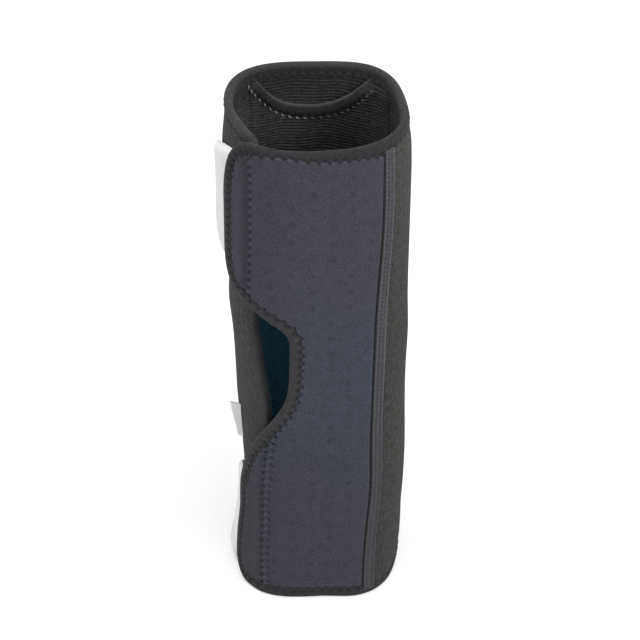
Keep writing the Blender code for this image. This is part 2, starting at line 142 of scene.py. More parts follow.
# ------------------------ sizes of the sewing
STITCH = 0.0043                            # one full zigzag
STITCH_STEPS = 10                          # mesh rows to each
THREAD = 0.00019                           # radius of a thread
TIP_RADIUS = 0.0020                        # a bound edge is squeezed to a half round
RIM_OUT = 0.00035                          # how far its outer face stands off the wall
RIB = 0.00158                              # one rib of the knit
RIB_DEPTH = 0.00044
RIB_FADE = (0.150, 0.205)                  # heights over which the ribs come out, going up
DIMPLE_PITCH = 0.00847
DIMPLE_RADIUS = 0.0017
DIMPLE_DEPTH = 0.00030
SIDE_ROWS, SIDE_COLUMNS = 161, 65
FLAP_ROWS, FLAP_COLUMNS = 481, 117
TAPE_CUT = 0.0102                          # width of the seam's and the mouth's tape before sewing
BINDING_CUT = 0.0160
SEAM_STITCH = 2.3 * MM
SEAM_ROWS = ((1.95 * MM, 0.0), (3.85 * MM, 0.5))    # each row's distance from the seam and its shift
PANEL_ROW = (6.8 * MM, 0.25)
MOUTH_STITCH = 3.3 * MM
CREASE = 70                                # degrees; flatter edges are shaded smooth


def smooth(a, b, x):
    """0 before a, 1 after b, and a smooth step between."""
    t = np.clip((np.asarray(x, float) - a) / (b - a), 0.0, 1.0)
    return t * t * (3 - 2 * t)


def bell(x, width):
    return np.exp(-(np.asarray(x, float) / width) ** 2)


def bumps(x, rows):
    """The sum of smooth bumps, each given as its height, middle and width."""
    return sum(height * bell(x - middle, width) for height, middle, width in rows)


# ------------------------ the wall
def section(right, left, back, front, squareness, steps=160):
    """Half widths and depths of four superellipse quarters: points, outward normals and run."""
    turn = np.linspace(0.0, math.pi / 2, steps)
    sides = ((right, back, 1, 1), (right, front, 1, -1), (left, front, -1, -1), (left, back, -1, 1))
    points = []
    for (wide, deep, sx, sy), n in zip(sides, squareness):
        x = sx * wide * np.sin(turn) ** (2 / n)
        y = sy * deep * np.cos(turn) ** (2 / n)
        quarter = np.stack([x, y], 1)
        if sx * sy < 0:
            quarter = quarter[::-1]
        points.append(quarter[:-1])
    points = np.concatenate(points + [[[0.0, back]]])
    run = np.concatenate([[0.0], np.cumsum(np.linalg.norm(np.diff(points, axis=0), axis=1))])
    along = np.gradient(points, run, axis=0)
    normal = np.stack([-along[:, 1], along[:, 0]], 1)
    return points, normal, run / run[-1], run[-1]


TOP, BOTTOM = section(**TOP_END), section(**BOTTOM_END)
GIRTH = TOP[3]


def on_section(table, share, out):
    points, normal, shares, _ = table
    share = np.mod(share, 1.0)
    at = np.stack([np.interp(share, shares, points[:, k]) for k in (0, 1)], -1)
    way = np.stack([np.interp(share, shares, normal[:, k]) for k in (0, 1)], -1)
    way /= np.linalg.norm(way, axis=-1, keepdims=True)
    return at + way * out[..., None]


def settle(s, z):
    """How the worn wall gives, in metres outwards: the bindings draw both ends in at the sides and
    spread the back's right corner, the right side swells a little between them, and the left side
    stands out below its top and goes in at its foot."""
    s = np.mod(s + 0.12, GIRTH) - 0.12
    top = smooth(HEIGHT - 0.018, HEIGHT - 0.001, z)
    foot = 1 - smooth(0.0, 0.021, z)
    swell = (0.55 + bumps(z, RIGHT_SWELL)) * bell(s - 0.072, 0.024)
    swell = swell * smooth(0.015, 0.045, z) * (1 - smooth(0.225, 0.245, z))
    waist = 1.3 * bell(z - 0.156, 0.014) - 2.1 * smooth(0.0, 0.03, z) * (1 - smooth(0.058, 0.106, z))
    left = 0.75 * smooth(0.205, 0.230, z) * bell(s + 0.067, 0.022) + waist * bell(s + 0.075, 0.024)
    return MM * (bumps(s, TOP_DRAWN) * top + bumps(s, FOOT_TUCKED) * foot + swell + left)


def seam_drift(s, z):
    """How far the seam wanders towards the right side, in metres round; it takes the cloth along."""
    return -MM * bumps(z, SEAM_WANDER) * bell(s - SEAM, 0.022)


def wall(s, z, out, give=1.0):
    """The place at s round, z up and out from the wall: straight lines join the two end sections."""
    s, z, out = np.broadcast_arrays(*(np.asarray(v, float) for v in (s, z, out)))
    out = out + give * settle(s, z)
    share = (s + seam_drift(s, z)) / GIRTH
    top = on_section(TOP, share, out)
    bottom = on_section(BOTTOM, share + FRONT_TWIST / GIRTH * np.sin(math.pi * share) ** 2, out)
    rise = (z / HEIGHT)[..., None]
    level = bottom + (top - bottom) * rise
    return np.concatenate([level, z[..., None]], -1) + CENTRING


def corner_cut(z, foot, top):
    past_foot = np.clip((EDGE_Z[0] + foot[1] - z) / foot[1], 0.0, 1.0)
    past_top = np.clip((z - EDGE_Z[1] + top[1]) / top[1], 0.0, 1.0)
    return foot[0] * (1 - np.sqrt(1 - past_foot ** 2)) + top[0] * (1 - np.sqrt(1 - past_top ** 2))


def flap_edge(z):
    upper = z > SCOOP_HEIGHT
    straight = np.where(upper, FLAP_UPPER, FLAP_LOWER)
    reach = np.abs(z - SCOOP_HEIGHT) / np.where(upper, SCOOP_UP, SCOOP_DOWN)
    power = reach ** np.where(upper, SCOOP_UP_SHARPNESS, SCOOP_DOWN_SHARPNESS)
    scooped = FLAP_NECK + (straight - FLAP_NECK) * power / (1 + power)
    return SEAM + scooped - corner_cut(z, FLAP_FOOT_CORNER, FLAP_TOP_CORNER)


def underlap_edge(z):
    length = UNDERLAP_LOW + (UNDERLAP_HIGH - UNDERLAP_LOW) * smooth(*UNDERLAP_TURN, z)
    return LEFT_HINGE - length + corner_cut(z, UNDERLAP_CORNER, UNDERLAP_CORNER)


FLAP_AREA = float(np.mean(flap_edge(np.linspace(*EDGE_Z, 2000)) - SEAM)) * HEIGHT


def flap_rise(s):
    t = np.clip((s - SEAM - RISE_START) / (RISE_END - RISE_START), 0.0, 1.0)
    return FLAP_RISE * t ** 2.5 * (3.5 - 2.5 * t)


def flap_climb(s, z):
    return FLAP_CLIMB * smooth(SEAM + RISE_START, SEAM + RISE_END, s) * z / HEIGHT


def flap_place(s, z, out):
    """The flap lifts off the wall towards its free edge, and keeps its own shape there."""
    past = np.asarray(s, float) - SEAM
    lift = MM * (1.3 + bumps(z, FLAP_LIFT)) * smooth(RISE_START, RISE_END, past)
    return wall(s, z + flap_climb(s, z), flap_rise(s) + lift + out, 1 - smooth(0.004, 0.030, past))


def mouth_edge(s):
    """The crescent mouth of the pocket: a little off the middle, and flatter low down on the left."""
    away = (s - MOUTH_MIDDLE) / POCKET_HALF
    left, right = (rise * np.abs(away) ** power for rise, power in MOUTH_CURVE)
    return MOUTH_LOW + MOUTH_LAP + np.where(away < 0, left, right) * MM


def to_seams(s, left, right):
    """0 over the stay and 1 at the pocket's side seams: left and right say where each step runs."""
    return np.where(s < 0, smooth(*left, -s), smooth(*right, s))


def pocket_standoff(s, z):
    """How far the pocket's cloth stands off the lining: by the stay's room, but not at its seams."""
    room = TAPE_STACK + GAP + STAY_THICK
    side = 1 - to_seams(s, (0.0215, 0.0358), (0.0250, 0.0425))
    foot = smooth(POCKET_BOTTOM + POCKET_HEM, POCKET_BOTTOM + POCKET_HEM + POCKET_SLOPE, z)
    return GAP + room * side * foot


# ------------------------ material graphs
class Value:
    """A socket of a material's graph that adds and multiplies like a number."""

    def __init__(self, tree, socket):
        self.tree = tree
        self.socket = socket

    def maths(self, operation, *others):
        slots = dict(enumerate((self, *others)))
        return node(self.tree, "ShaderNodeMath", {"operation": operation}, slots)

    def __add__(self, other):
        return self.maths("ADD", other)

    def __sub__(self, other):
        return self.maths("SUBTRACT", other)

    def __mul__(self, other):
        return self.maths("MULTIPLY", other)

    __radd__ = __add__
    __rmul__ = __mul__

    def __rsub__(self, other):
        return self * -1.0 + other

    def sine(self):
        return self.maths("SINE")

    def size(self):
        return self.maths("ABSOLUTE")

    def waves(self, length):
        """0 to 1 and back over each length."""
        return (self * (math.tau / length)).sine() * 0.5 + 0.5

    def step(self, low, high):
        """0 below low and 1 above high, smooth between."""
        return node(self.tree, "ShaderNodeMapRange", {"interpolation_type": "SMOOTHSTEP"},
                    {"Value": self, "From Min": low, "From Max": high})


def node(tree, kind, settings=None, slots=None, output=0):
    """Adds a node: its settings are made first, then its sockets get their values or links."""
    made = tree.nodes.new(kind)
    for name, setting in (settings or {}).items():
        setattr(made, name, setting)
    for slot, value in (slots or {}).items():
        if isinstance(value, Value):
            tree.links.new(value.socket, made.inputs[slot])
        else:
            made.inputs[slot].default_value = value
    return Value(tree, made.outputs[output])


class Graph:
    """One cloth or metal: its shader and what feeds it. Lengths in it are millimetres."""

    def __init__(self, name, roughness, sheen=0.0, specular=0.5, metallic=0.0):
        self.material = bpy.data.materials.new(name)
        self.material.use_nodes = True
        self.tree = self.material.node_tree
        self.shader = self.tree.nodes["Principled BSDF"]
        self.shader.inputs["Roughness"].default_value = roughness
        self.shader.inputs["Specular IOR Level"].default_value = specular
        self.shader.inputs["Metallic"].default_value = metallic
        self.shader.inputs["Sheen Weight"].default_value = sheen
        self.shader.inputs["Sheen Roughness"].default_value = 0.5

    def node(self, kind, settings=None, slots=None, output=0):
        return node(self.tree, kind, settings, slots, output)

    def shade(self):
        return self.node("ShaderNodeAttribute", {"attribute_name": "shade"}, output="Fac")

    def cloth(self, across=1.0, up=1.0):
        """Millimetres round and up the cloth, stretched by the given shares."""
        place = self.node("ShaderNodeAttribute", {"attribute_name": "cloth"}, output="Vector")
        return self.node("ShaderNodeVectorMath", {"operation": "MULTIPLY"},
                         {0: place, 1: (1000 * across, 1000 * up, 1000)})

    def round_and_up(self):
        place = self.cloth()
        return [self.node("ShaderNodeSeparateXYZ", slots={0: place}, output=k) for k in (0, 1)]

    def noise(self, size, detail=2.0, roughness=0.5, across=1.0, up=1.0):
        """Cloudy noise from 0 to 1 with features about size millimetres wide."""
        return self.node("ShaderNodeTexNoise", slots={
            "Vector": self.cloth(across, up), "Scale": 1.0 / size, "Detail": detail, "Roughness": roughness})

    def specks(self, size, low, high, across=1.0, up=1.0):
        """1 in the middles of scattered cells about size millimetres wide, and 0 between."""
        away = self.node("ShaderNodeTexVoronoi", slots={
            "Vector": self.cloth(across, up), "Scale": 1.0 / size}, output="Distance")
        return (1.0 - away).step(low, high)

    def mix(self, share, first, second):
        """A colour between two, each linear red, green and blue."""
        return self.node("ShaderNodeMix", {"data_type": "RGBA"}, {
            "Factor": share, 6: (*first, 1.0) if isinstance(first, tuple) else first,
            7: (*second, 1.0) if isinstance(second, tuple) else second}, 2)

    def times(self, colour, share):
        """A colour made lighter or darker by a share."""
        return self.node("ShaderNodeVectorMath", {"operation": "SCALE"}, {0: colour, "Scale": share})

    def finish(self, colour, height=None, depth=0.0):
        """Colour on the shader, and a bump whose height runs from 0 to 1 over depth millimetres."""
        self.tree.links.new(colour.socket, self.shader.inputs["Base Color"])
        if height is not None:
            bump = self.node("ShaderNodeBump", slots={"Distance": depth * MM, "Height": height})
            self.tree.links.new(bump.socket, self.shader.inputs["Normal"])
        return self.material


def face_cloth():
    """Smooth knit face of the foam laminate: purple to blue grey, with a fine grain and light flecks; bluer
    about mid height, where a sheen is painted.
    """
    g = Graph("face_cloth", 0.85, sheen=0.04, specular=0.12)
    _, up = g.round_and_up()
    # painted sheen: the cloth turns bluer about mid height
    middle = 1.0 - (up - 122.0).size().step(5.0, 95.0)
    hue = g.mix((middle * 0.75 + (g.noise(34.0) - 0.5) * 0.9).step(0.0, 1.0),
                (0.0540, 0.0520, 0.0680), (0.0465, 0.0550, 0.0730))
    grain = g.noise(0.90, 3.0, 0.85)
    broad = g.noise(5.0, 3.0, 0.6)
    fleck = g.specks(2.4, 0.82, 0.97)
    dark = g.specks(3.1, 0.84, 0.98, 1.1, 0.9)
    tone = grain * 2.25 + broad * 0.45 - 0.38 + fleck * 0.66 - dark * 0.28
    return g.finish(g.times(hue, tone * g.shade()), grain, 0.22)


def loop_cloth():
    """Brushed loop pile: charcoal with a brown mottle on the right, in faint upright and level rows. Keeping
    the mottle to the right paints a warmer light there than on the left, and painted light and shade by
    height lie on both sides.
    """
    g = Graph("loop_cloth", 0.95, sheen=0.05, specular=0.08)
    around, up = g.round_and_up()
    loops = g.noise(0.95, 3.0, 0.80)
    mottle = g.noise(2.1, 3.0, 0.75, up=0.55)
    rows = (around * (math.tau / 1.9) + g.noise(4.0) * 3.0).sine() * 0.5
    rows = rows + (up * (math.tau / 1.6)).sine() * 0.5
    # the brown mottle is the cloth's own; keeping it off the left side paints a cooler light there
    brown = g.noise(3.2, 3.0, 0.75).step(0.40, 0.62) * around.step(-40.0, 20.0)
    hue = g.mix(brown, (0.0500, 0.0515, 0.0535), (0.0570, 0.0520, 0.0445))
    fleck = g.specks(1.9, 0.80, 0.98)
    dark = g.specks(2.3, 0.80, 0.97, 0.9, 1.2)
    tone = mottle * 2.00 + loops * 3.00 + rows * 0.20 + fleck * 0.75 - dark * 0.60 - 1.47
    # painted light and shade: the right side lighter high up and darker below, the left side darker near its
    # top
    light = around.step(20.0, 60.0) * (up.step(140.0, 250.0) * 0.27 - 0.17) + 1.0
    light = light - (1.0 - around.step(-60.0, -30.0)) * up.step(185.0, 235.0) * 0.14
    return g.finish(g.times(hue, tone.maths("MAXIMUM", 0.15) * light * g.shade()), loops, 0.40)


def knit_lining():
    """Dark rib knit, green black and turning teal lower down: each rib is a row of slanting dashes."""
    g = Graph("knit_lining", 0.92, sheen=0.05, specular=0.10)
    around, up = g.round_and_up()
    slant = ((around * 0.55 - up) * (math.tau / 1.5) + g.noise(2.2) * 6.0).sine() * 0.5 + 0.5
    fuzz = g.noise(0.85, 3.0, 0.80)
    dashes = g.noise(1.15, 2.0, 0.6, across=0.30, up=1.3)
    hue = g.mix(up.step(130.0, 215.0), (0.0700, 0.1780, 0.2520), (0.0520, 0.0540, 0.0520))
    ribbed = up.step(140.0, 205.0)
    tone = (fuzz * 2.00 + slant * 0.30 + dashes * 2.6 - 2.42) * (ribbed * 0.93 + 0.07) + 1.0
    return g.finish(g.times(hue, tone.maths("MAXIMUM", 0.1) * g.shade()), fuzz, 0.22)


def binding_tape(name, colour):
    """Soft plush tape folded over the edges."""
    g = Graph(name, 0.92, sheen=0.08, specular=0.10)
    nap = g.noise(0.90, 3.0, 0.80)
    cloud = g.noise(2.4, 3.0, 0.7)
    fleck = g.specks(2.0, 0.80, 0.98)
    dark = g.specks(2.6, 0.82, 0.97, 1.2, 0.9)
    tone = nap * 2.00 + cloud * 0.90 - 0.49 + fleck * 0.36 - dark * 0.34
    return g.finish(g.times(colour, tone * g.shade()), nap, 0.30)


def seam_twill():
    """Grey twill with fine slanting lines."""
    g = Graph("seam_twill", 0.90, sheen=0.06, specular=0.12)
    around, up = g.round_and_up()
    twill = (around + up * 0.9).waves(1.1)
    fuzz = g.noise(0.9, 3.0, 0.80)
    tone = (twill * 0.25 + fuzz * 1.60 + g.noise(2.4) * 0.5 - 0.20) * g.shade()
    return g.finish(g.times((0.0720, 0.0725, 0.0800), tone), fuzz, 0.20)


def sewing_thread(name, colour):
    g = Graph(name, 0.75, sheen=0.05, specular=0.25)
    return g.finish(g.times(colour, g.noise(0.5) * 0.5 + 0.75))


def ribbon():
    """Bare white woven ribbon: fine cross ribs and a soft edge."""
    g = Graph("white_ribbon", 0.70, sheen=0.05, specular=0.25)
    around, up = g.round_and_up()
    ribs = around.waves(0.55)
    weave = up.waves(0.40)
    tone = (ribs * 0.03 + weave * 0.02 + g.noise(6.0) * 0.05 + 0.92) * g.shade()
    return g.finish(g.times((0.870, 0.870, 0.855), tone), ribs * 0.6 + weave * 0.4, 0.05)


def hook_plastic():
    g = Graph("hook_plastic", 0.42, specular=0.5)
    return g.finish(g.times((0.74, 0.74, 0.71), g.noise(2.0) * 0.12 + 0.94))


def brushed_metal():
    """Bare aluminium, brushed lengthways."""
    g = Graph("brushed_metal", 0.34, metallic=1.0)
    place = g.node("ShaderNodeTexCoord", output="Object")
    drawn = g.node("ShaderNodeVectorMath", {"operation": "MULTIPLY"}, {0: place, 1: (4000, 4000, 25)})
    brushed = g.node("ShaderNodeTexNoise", slots={"Vector": drawn, "Scale": 1.0})
    return g.finish(g.times((0.60, 0.61, 0.62), brushed * 0.25 + 0.85), brushed, 0.02)


FACE = face_cloth()
LOOP = loop_cloth()
KNIT = knit_lining()
TAPE_CLOTH = binding_tape("binding_tape", (0.0415, 0.0405, 0.0440))
TWILL = seam_twill()
DARK_THREAD = sewing_thread("dark_thread", (0.040, 0.041, 0.046))
FACE_THREAD = sewing_thread("face_thread", (0.070, 0.072, 0.092))
# painted glints: light thread colours for the pocket mouth's stitches, where light catches them
GLINT_THREAD = sewing_thread("glint_thread", (0.300, 0.305, 0.310))
# painted shadow: a thread colour darker than the dark thread, for strands deep in the upper row's groove
SHADOWED_SLASH_THREAD = sewing_thread("shadowed_slash_thread", (0.020, 0.021, 0.025))
DIM_GLINT_THREAD = sewing_thread("dim_glint_thread", (0.120, 0.124, 0.128))
RIBBON = ribbon()
HOOKS = hook_plastic()
METAL = brushed_metal()


# ------------------------ mesh makers
def make_piece(name, points, faces, material, cloth, shade=None):
    """A closed mesh that keeps each point's place on the cloth and its shade."""
    mesh = bpy.data.meshes.new(name)
    mesh.from_pydata(np.reshape(points, (-1, 3)).tolist(), [], faces)
    bm = bmesh.new()
    bm.from_mesh(mesh)
    bmesh.ops.recalc_face_normals(bm, faces=bm.faces)
    bm.to_mesh(mesh)
    bm.free()
    mesh.shade_smooth()
    mesh.set_sharp_from_angle(angle=math.radians(CREASE))
    count = len(mesh.vertices)
    flat = np.zeros((count, 3), np.float32)
    flat[:, :2] = np.reshape(cloth, (-1, 2))[:count]
    layer = mesh.attributes.new("cloth", "FLOAT_VECTOR", "POINT")
    layer.data.foreach_set("vector", flat.ravel())
    tone = np.ones(count, np.float32) if shade is None else np.ravel(shade).astype(np.float32)
    layer = mesh.attributes.new("shade", "FLOAT", "POINT")
    layer.data.foreach_set("value", tone)
    mesh.materials.append(material)
    piece = bpy.data.objects.new(name, mesh)
    bpy.context.scene.collection.objects.link(piece)
    return piece


def quads(rows, cols, start=0):
    grid = np.arange(rows * cols).reshape(rows, cols) + start
    return np.stack([grid[:-1, :-1], grid[:-1, 1:], grid[1:, 1:], grid[1:, :-1]], -1).reshape(-1, 4)


def border(rows, cols, start=0):
    grid = np.arange(rows * cols).reshape(rows, cols) + start
    return np.concatenate([grid[0], grid[1:, -1], grid[-1, -2::-1], grid[-2:0:-1, 0]])


def cloth_sheet(name, place, s, z, seen, hidden, material, shade=None, step=4):
    """A closed cloth: a fine skin on its seen side and a coarse one behind, joined round the border.

    place(s, z, out) gives the points; the counts of rows and columns are a multiple of step, plus 1.
    """
    s, z, seen, hidden = np.broadcast_arrays(s, z, seen, hidden)
    rows, cols = s.shape
    rough = (slice(None, None, step), slice(None, None, step))
    back_rows, back_cols = s[rough].shape
    size = rows * cols
    faces = quads(rows, cols).tolist() + quads(back_rows, back_cols, size)[:, ::-1].tolist()
    fine, coarse = border(rows, cols).tolist(), border(back_rows, back_cols, size).tolist()
    fine.append(fine[0])
    coarse.append(coarse[0])
    for k in range(len(coarse) - 1):
        faces.append(fine[k * step:(k + 1) * step + 1] + [coarse[k + 1], coarse[k]])
    points = np.concatenate([
        place(s, z, seen).reshape(-1, 3), place(s[rough], z[rough], hidden[rough]).reshape(-1, 3)])
    cloth = np.concatenate([
        np.stack([s, z], -1).reshape(-1, 2), np.stack([s[rough], z[rough]], -1).reshape(-1, 2)])
    tone = None
    if shade is not None:
        tone = np.concatenate([np.ravel(shade), np.ones(back_rows * back_cols)])
    return make_piece(name, points, faces, material, cloth, tone)


def ring_loft(name, points, material, cloth, shade=None):
    """Closed rings (count, size, 3) joined one to the next, shut at both ends."""
    count, size = points.shape[:2]
    grid = np.arange(count * size).reshape(count, size)
    after = np.roll(grid, -1, axis=1)
    sides = np.stack([grid[:-1], after[:-1], after[1:], grid[1:]], -1).reshape(-1, 4)
    faces = sides.tolist() + [grid[0].tolist()[::-1], grid[-1].tolist()]
    return make_piece(name, points, faces, material, cloth, shade)


def threads(name, place, lines, material, radius=THREAD, sides=5):
    """Round threads along lines (count, steps, 3) of s, z and out, with closed ends."""
    lines = np.asarray(lines, float)
    centre = place(lines[..., 0], lines[..., 1], lines[..., 2])
    above = place(lines[..., 0], lines[..., 1], lines[..., 2] + MM) - centre
    above /= np.linalg.norm(above, axis=-1, keepdims=True)
    along = np.gradient(centre, axis=1)
    along /= np.linalg.norm(along, axis=-1, keepdims=True)
    across = np.cross(along, above)
    across /= np.linalg.norm(across, axis=-1, keepdims=True)
    above = np.cross(across, along)
    turn = np.arange(sides) * math.tau / sides
    rings = (centre[:, :, None] + radius * (
        across[:, :, None] * np.cos(turn)[:, None] + above[:, :, None] * np.sin(turn)[:, None]))
    count, steps = rings.shape[:2]
    grid = np.arange(count * steps * sides).reshape(count, steps, sides)
    after = np.roll(grid, -1, axis=2)
    walls = np.stack([grid[:, :-1], after[:, :-1], after[:, 1:], grid[:, 1:]], -1).reshape(-1, 4)
    faces = walls.tolist() + grid[:, 0, ::-1].tolist() + grid[:, -1].tolist()
    cloth = np.repeat(lines[..., None, :2], sides, axis=2)
    return make_piece(name, rings, faces, material, cloth)


class Line:
    """A sewn edge or row in (s, z) at even steps, with its way and the way into the cloth."""

    def __init__(self, s, z, side):
        step, soften = 0.25 * MM, 1.0 * MM
        run = np.concatenate([[0.0], np.cumsum(np.hypot(np.diff(s), np.diff(z)))])
        self.length = float(run[-1])
        self.run = np.linspace(0.0, self.length, round(self.length / step) + 1)
        self.points = np.stack([np.interp(self.run, run, s), np.interp(self.run, run, z)], 1)
        way = np.gradient(self.points, axis=0)
        reach = max(1, round(soften / step))
        kernel = np.hanning(2 * reach + 3)[1:-1]
        kernel /= kernel.sum()
        padded = np.pad(way, ((reach, reach), (0, 0)), mode="edge")
        way = np.stack([np.convolve(padded[:, k], kernel, "valid") for k in (0, 1)], 1)
        way /= np.linalg.norm(way, axis=1, keepdims=True)
        self.inward = side * np.stack([-way[:, 1], way[:, 0]], 1)
        self.count = max(1, round(self.length / STITCH))
        self.pitch = self.length / self.count

    def at(self, along, inside):
        """The place in (s, z) at a run along the line and a distance inside it."""
        along, inside = np.broadcast_arrays(along, inside)
        base = np.stack([np.interp(along, self.run, self.points[:, k]) for k in (0, 1)], -1)
        way = np.stack([np.interp(along, self.run, self.inward[:, k]) for k in (0, 1)], -1)
        return base + way * inside[..., None]

    def nearest(self, s, z, reach):
        """(run, distance) of the nearest place on the line, for points within reach; the rest get
        a distance of 1 metre."""
        flat = np.stack([np.ravel(s), np.ravel(z)], 1)
        along = np.zeros(len(flat))
        away = np.ones(len(flat))
        low, high = self.points.min(0) - reach, self.points.max(0) + reach
        inside = np.flatnonzero(((flat > low) & (flat < high)).all(1))
        for part in np.array_split(inside, max(1, len(inside) // 3000)):
            gap = flat[part, None] - self.points[None]
            square = (gap ** 2).sum(-1)
            best = square.argmin(1)
            along[part] = self.run[best]
            away[part] = np.sqrt(square[np.arange(len(part)), best])
        return along.reshape(np.shape(s)), away.reshape(np.shape(s))


def outline(start, edge, side):
    """A panel's bound edge: out from start along its foot, up its shaped edge, back along its top."""
    turn = np.linspace(0.0, math.pi, 4000)
    z = EDGE_Z[0] + (EDGE_Z[1] - EDGE_Z[0]) * (1 - np.cos(turn)) / 2
    return Line(np.concatenate([[start], edge(z), [start]]), np.concatenate([[z[0]], z, [z[-1]]]), side)


FLAP_OUTLINE = outline(SEAM, flap_edge, 1)
UNDERLAP_OUTLINE = outline(0.0, underlap_edge, -1)
RIGHT_TOP = Line(np.array([0.0, SEAM]), np.full(2, EDGE_Z[1]), -1)
RIGHT_BOTTOM = Line(np.array([0.0, SEAM]), np.full(2, EDGE_Z[0]), 1)


def outer_leg(s, z):
    """How far the tape reaches in from a bound edge on the outside: wide at the seam's top, narrow
    towards the flap's top corner."""
    top = bumps(s - SEAM, ((1.9, 0.0, 0.0075), (0.25, 0.014, 0.012), (-2.1, 0.0435, 0.0088)))
    return (5.0 + 0.7 * (1 - smooth(0.004, 0.030, z)) + (top - 0.6) * smooth(0.222, 0.246, z)) * MM


def inner_leg(z):
    return (4.6 + 0.6 * smooth(0.235, 0.252, z)) * MM


def scallop(z):
    """How far the cloth bulges into the tape between two stitches, at height z."""
    return (0.22 + 0.55 * bell(z - 0.133, 0.030) + 0.60 * smooth(0.236, 0.246, z) - 0.12 * (z < 0.012)) * MM


def arch(share):
    """0 at each cusp and 1 midway between two."""
    fraction = np.mod(share, 1.0)
    return 1 - (2 * fraction - 1) ** 2


def cusp(share, pitch, width):
    """1 at each cusp, falling off over width."""
    return bell((share - np.round(share)) * pitch, width)


# ------------------------ bound edges
def bound_edge(name, line, place):
    """Tape folded over an edge: a half round rim and legs inside and out, pitted by its zigzag, with painted
    shade and highlights on it.
    """
    out_steps, tip_steps, in_steps = 14, 10, 8
    tip_end = out_steps + tip_steps
    along = np.linspace(0.0, line.length, STITCH_STEPS * line.count + 1)
    s, z = line.at(along, 0.0).T
    share = along / line.pitch
    full = outer_leg(s, z)
    leg = full - scallop(z) * arch(share)
    back = inner_leg(z) + 0.3 * MM * arch(share + 0.5)
    rim = TIP_RADIUS - TAPE_STACK
    run = np.linspace(0.0, 1.0, out_steps)
    past_out = -leg[:, None] + (leg - rim)[:, None] * run
    past_in = -rim - (back - rim)[:, None] * np.linspace(0.12, 1.0, in_steps)
    turn = np.linspace(0.0, math.pi, tip_steps + 1)[1:]
    past_tip = np.tile(-rim + TIP_RADIUS * np.sin(turn), (len(along), 1))
    level_tip = np.tile(RIM_OUT - TIP_RADIUS + TIP_RADIUS * np.cos(turn), (len(along), 1))
    inside = -past_out
    swing = np.abs(2 * np.mod(share, 1.0) - 1)[:, None]
    path = (0.5 + 0.5 * swing) * full[:, None]
    valley = bell(inside - path, 0.55 * MM) * smooth(1.4 * MM, 2.2 * MM, inside)
    pit = needle(share + 0.5, line.pitch, inside - 0.66 * full[:, None], 0.95 * MM)
    lump = cusp(share, line.pitch, 1.0 * MM)[:, None] * bell(inside - 0.55 * full[:, None], 1.1 * MM)
    ends = smooth(0.45, 1.0, inside / leg[:, None])
    level_out = RIM_OUT - (0.30 * ends + 0.22 * valley + 0.55 * pit - 0.25 * lump) * MM
    level_out += 0.08 * MM * np.sin(along / 0.0093)[:, None]
    gap_in = -past_in
    lower = needle(share, line.pitch, gap_in - (back - 1.1 * MM)[:, None], 0.65 * MM)
    puff = needle(share + 0.5, line.pitch, gap_in - (back - 1.1 * MM)[:, None], 0.95 * MM)
    level_in = RIM_OUT - 2 * TIP_RADIUS + (0.45 * lower - 0.35 * puff) * MM + 0 * gap_in
    fold_past = np.stack([-back, -back * 0.5, -rim + 0 * leg, -rim + 0 * leg, -leg * 0.5, -leg], 1)
    inner = RIM_OUT - 2 * TIP_RADIUS + 0.45 * MM
    fold_level = np.tile((inner, inner, inner, -0.15 * MM, -0.25 * MM, -0.50 * MM), (len(along), 1))
    past = np.concatenate([past_out, past_tip, past_in, fold_past], 1)
    level = np.concatenate([level_out, level_tip, level_in, fold_level], 1)
    spot = line.at(along[:, None] + 0 * past, -past)
    points = place(spot[..., 0], spot[..., 1], level)
    shade = np.ones_like(past)
    # painted shade in the needle holes and the zigzag's groove, painted highlight on the lumps
    shade[:, :out_steps] *= (1 - 0.50 * pit) * (1 - 0.25 * valley) * (1 + 0.14 * lump)
    # painted shade: the rim darker along the front's top and along the foot
    front = smooth(0.055, 0.085, s) * smooth(0.222, 0.248, z)
    shade[:, :tip_end] *= (1 - 0.30 * front - 0.22 * (1 - smooth(0.004, 0.025, z)))[:, None]
    # painted shade: the inner leg darker as it goes in and in its needle holes, with painted highlight on
    # its puffs
    tucked_shade = 1 - 0.25 * smooth(0.0, 0.3, gap_in / back[:, None])
    shade[:, tip_end:tip_end + in_steps] *= (1 - 0.60 * lower) * (1 + 0.25 * puff) * tucked_shade
    return ring_loft(name, points, TAPE_CLOTH, spot, shade)


def needle(share, pitch, off, long):
    """A needle hole: 1 in its middle, for places off it across the stitch line."""
    return cusp(share, pitch, long)[:, None] * bell(off, 0.60 * MM)


def sew(name, line, place):
    """A zigzag of thread over a tape's leg: from holes in the tape to holes past its edge."""
    turns = np.arange(2 * line.count + 1) * line.pitch / 2
    low = np.arange(len(turns)) % 2 == 0
    spot = line.at(turns, 0.0)
    full = outer_leg(*spot.T)
    inside = np.where(low, full - 0.2 * MM, 0.54 * full)
    lines = stitches(line, turns, inside, np.where(low, -0.20 * MM, -0.05 * MM), 0.30 * MM)
    return threads(name, place, lines, DARK_THREAD)


def stitches(line, turns, inside, level, hump, steps=6):
    """One short thread between each two holes, humped midway and sunk at both ends."""
    share = np.linspace(0.0, 1.0, steps)
    arc = np.sin(math.pi * share)
    out = []
    for a, b in zip(range(len(turns) - 1), range(1, len(turns))):
        run = turns[a] + (turns[b] - turns[a]) * share
        gap = inside[a] + (inside[b] - inside[a]) * share
        spot = line.at(run, gap)
        lift = level[a] + (level[b] - level[a]) * share + hump * arc - 0.25 * MM * (1 - arc)
        out.append(np.concatenate([spot, lift[:, None]], 1))
    return np.array(out)


# ------------------------ bodies
def span(s, before, after):
    """Two points either side of a hinge at s, before and after it along the wall."""
    middle, left, right = (wall(s + step, HEIGHT / 2, 0.0) for step in (0.0, -0.5 * MM, 0.5 * MM))
    way = (right - left) / np.linalg.norm(right - left)
    return [(middle + way * reach).tolist() for reach in (before, after)]


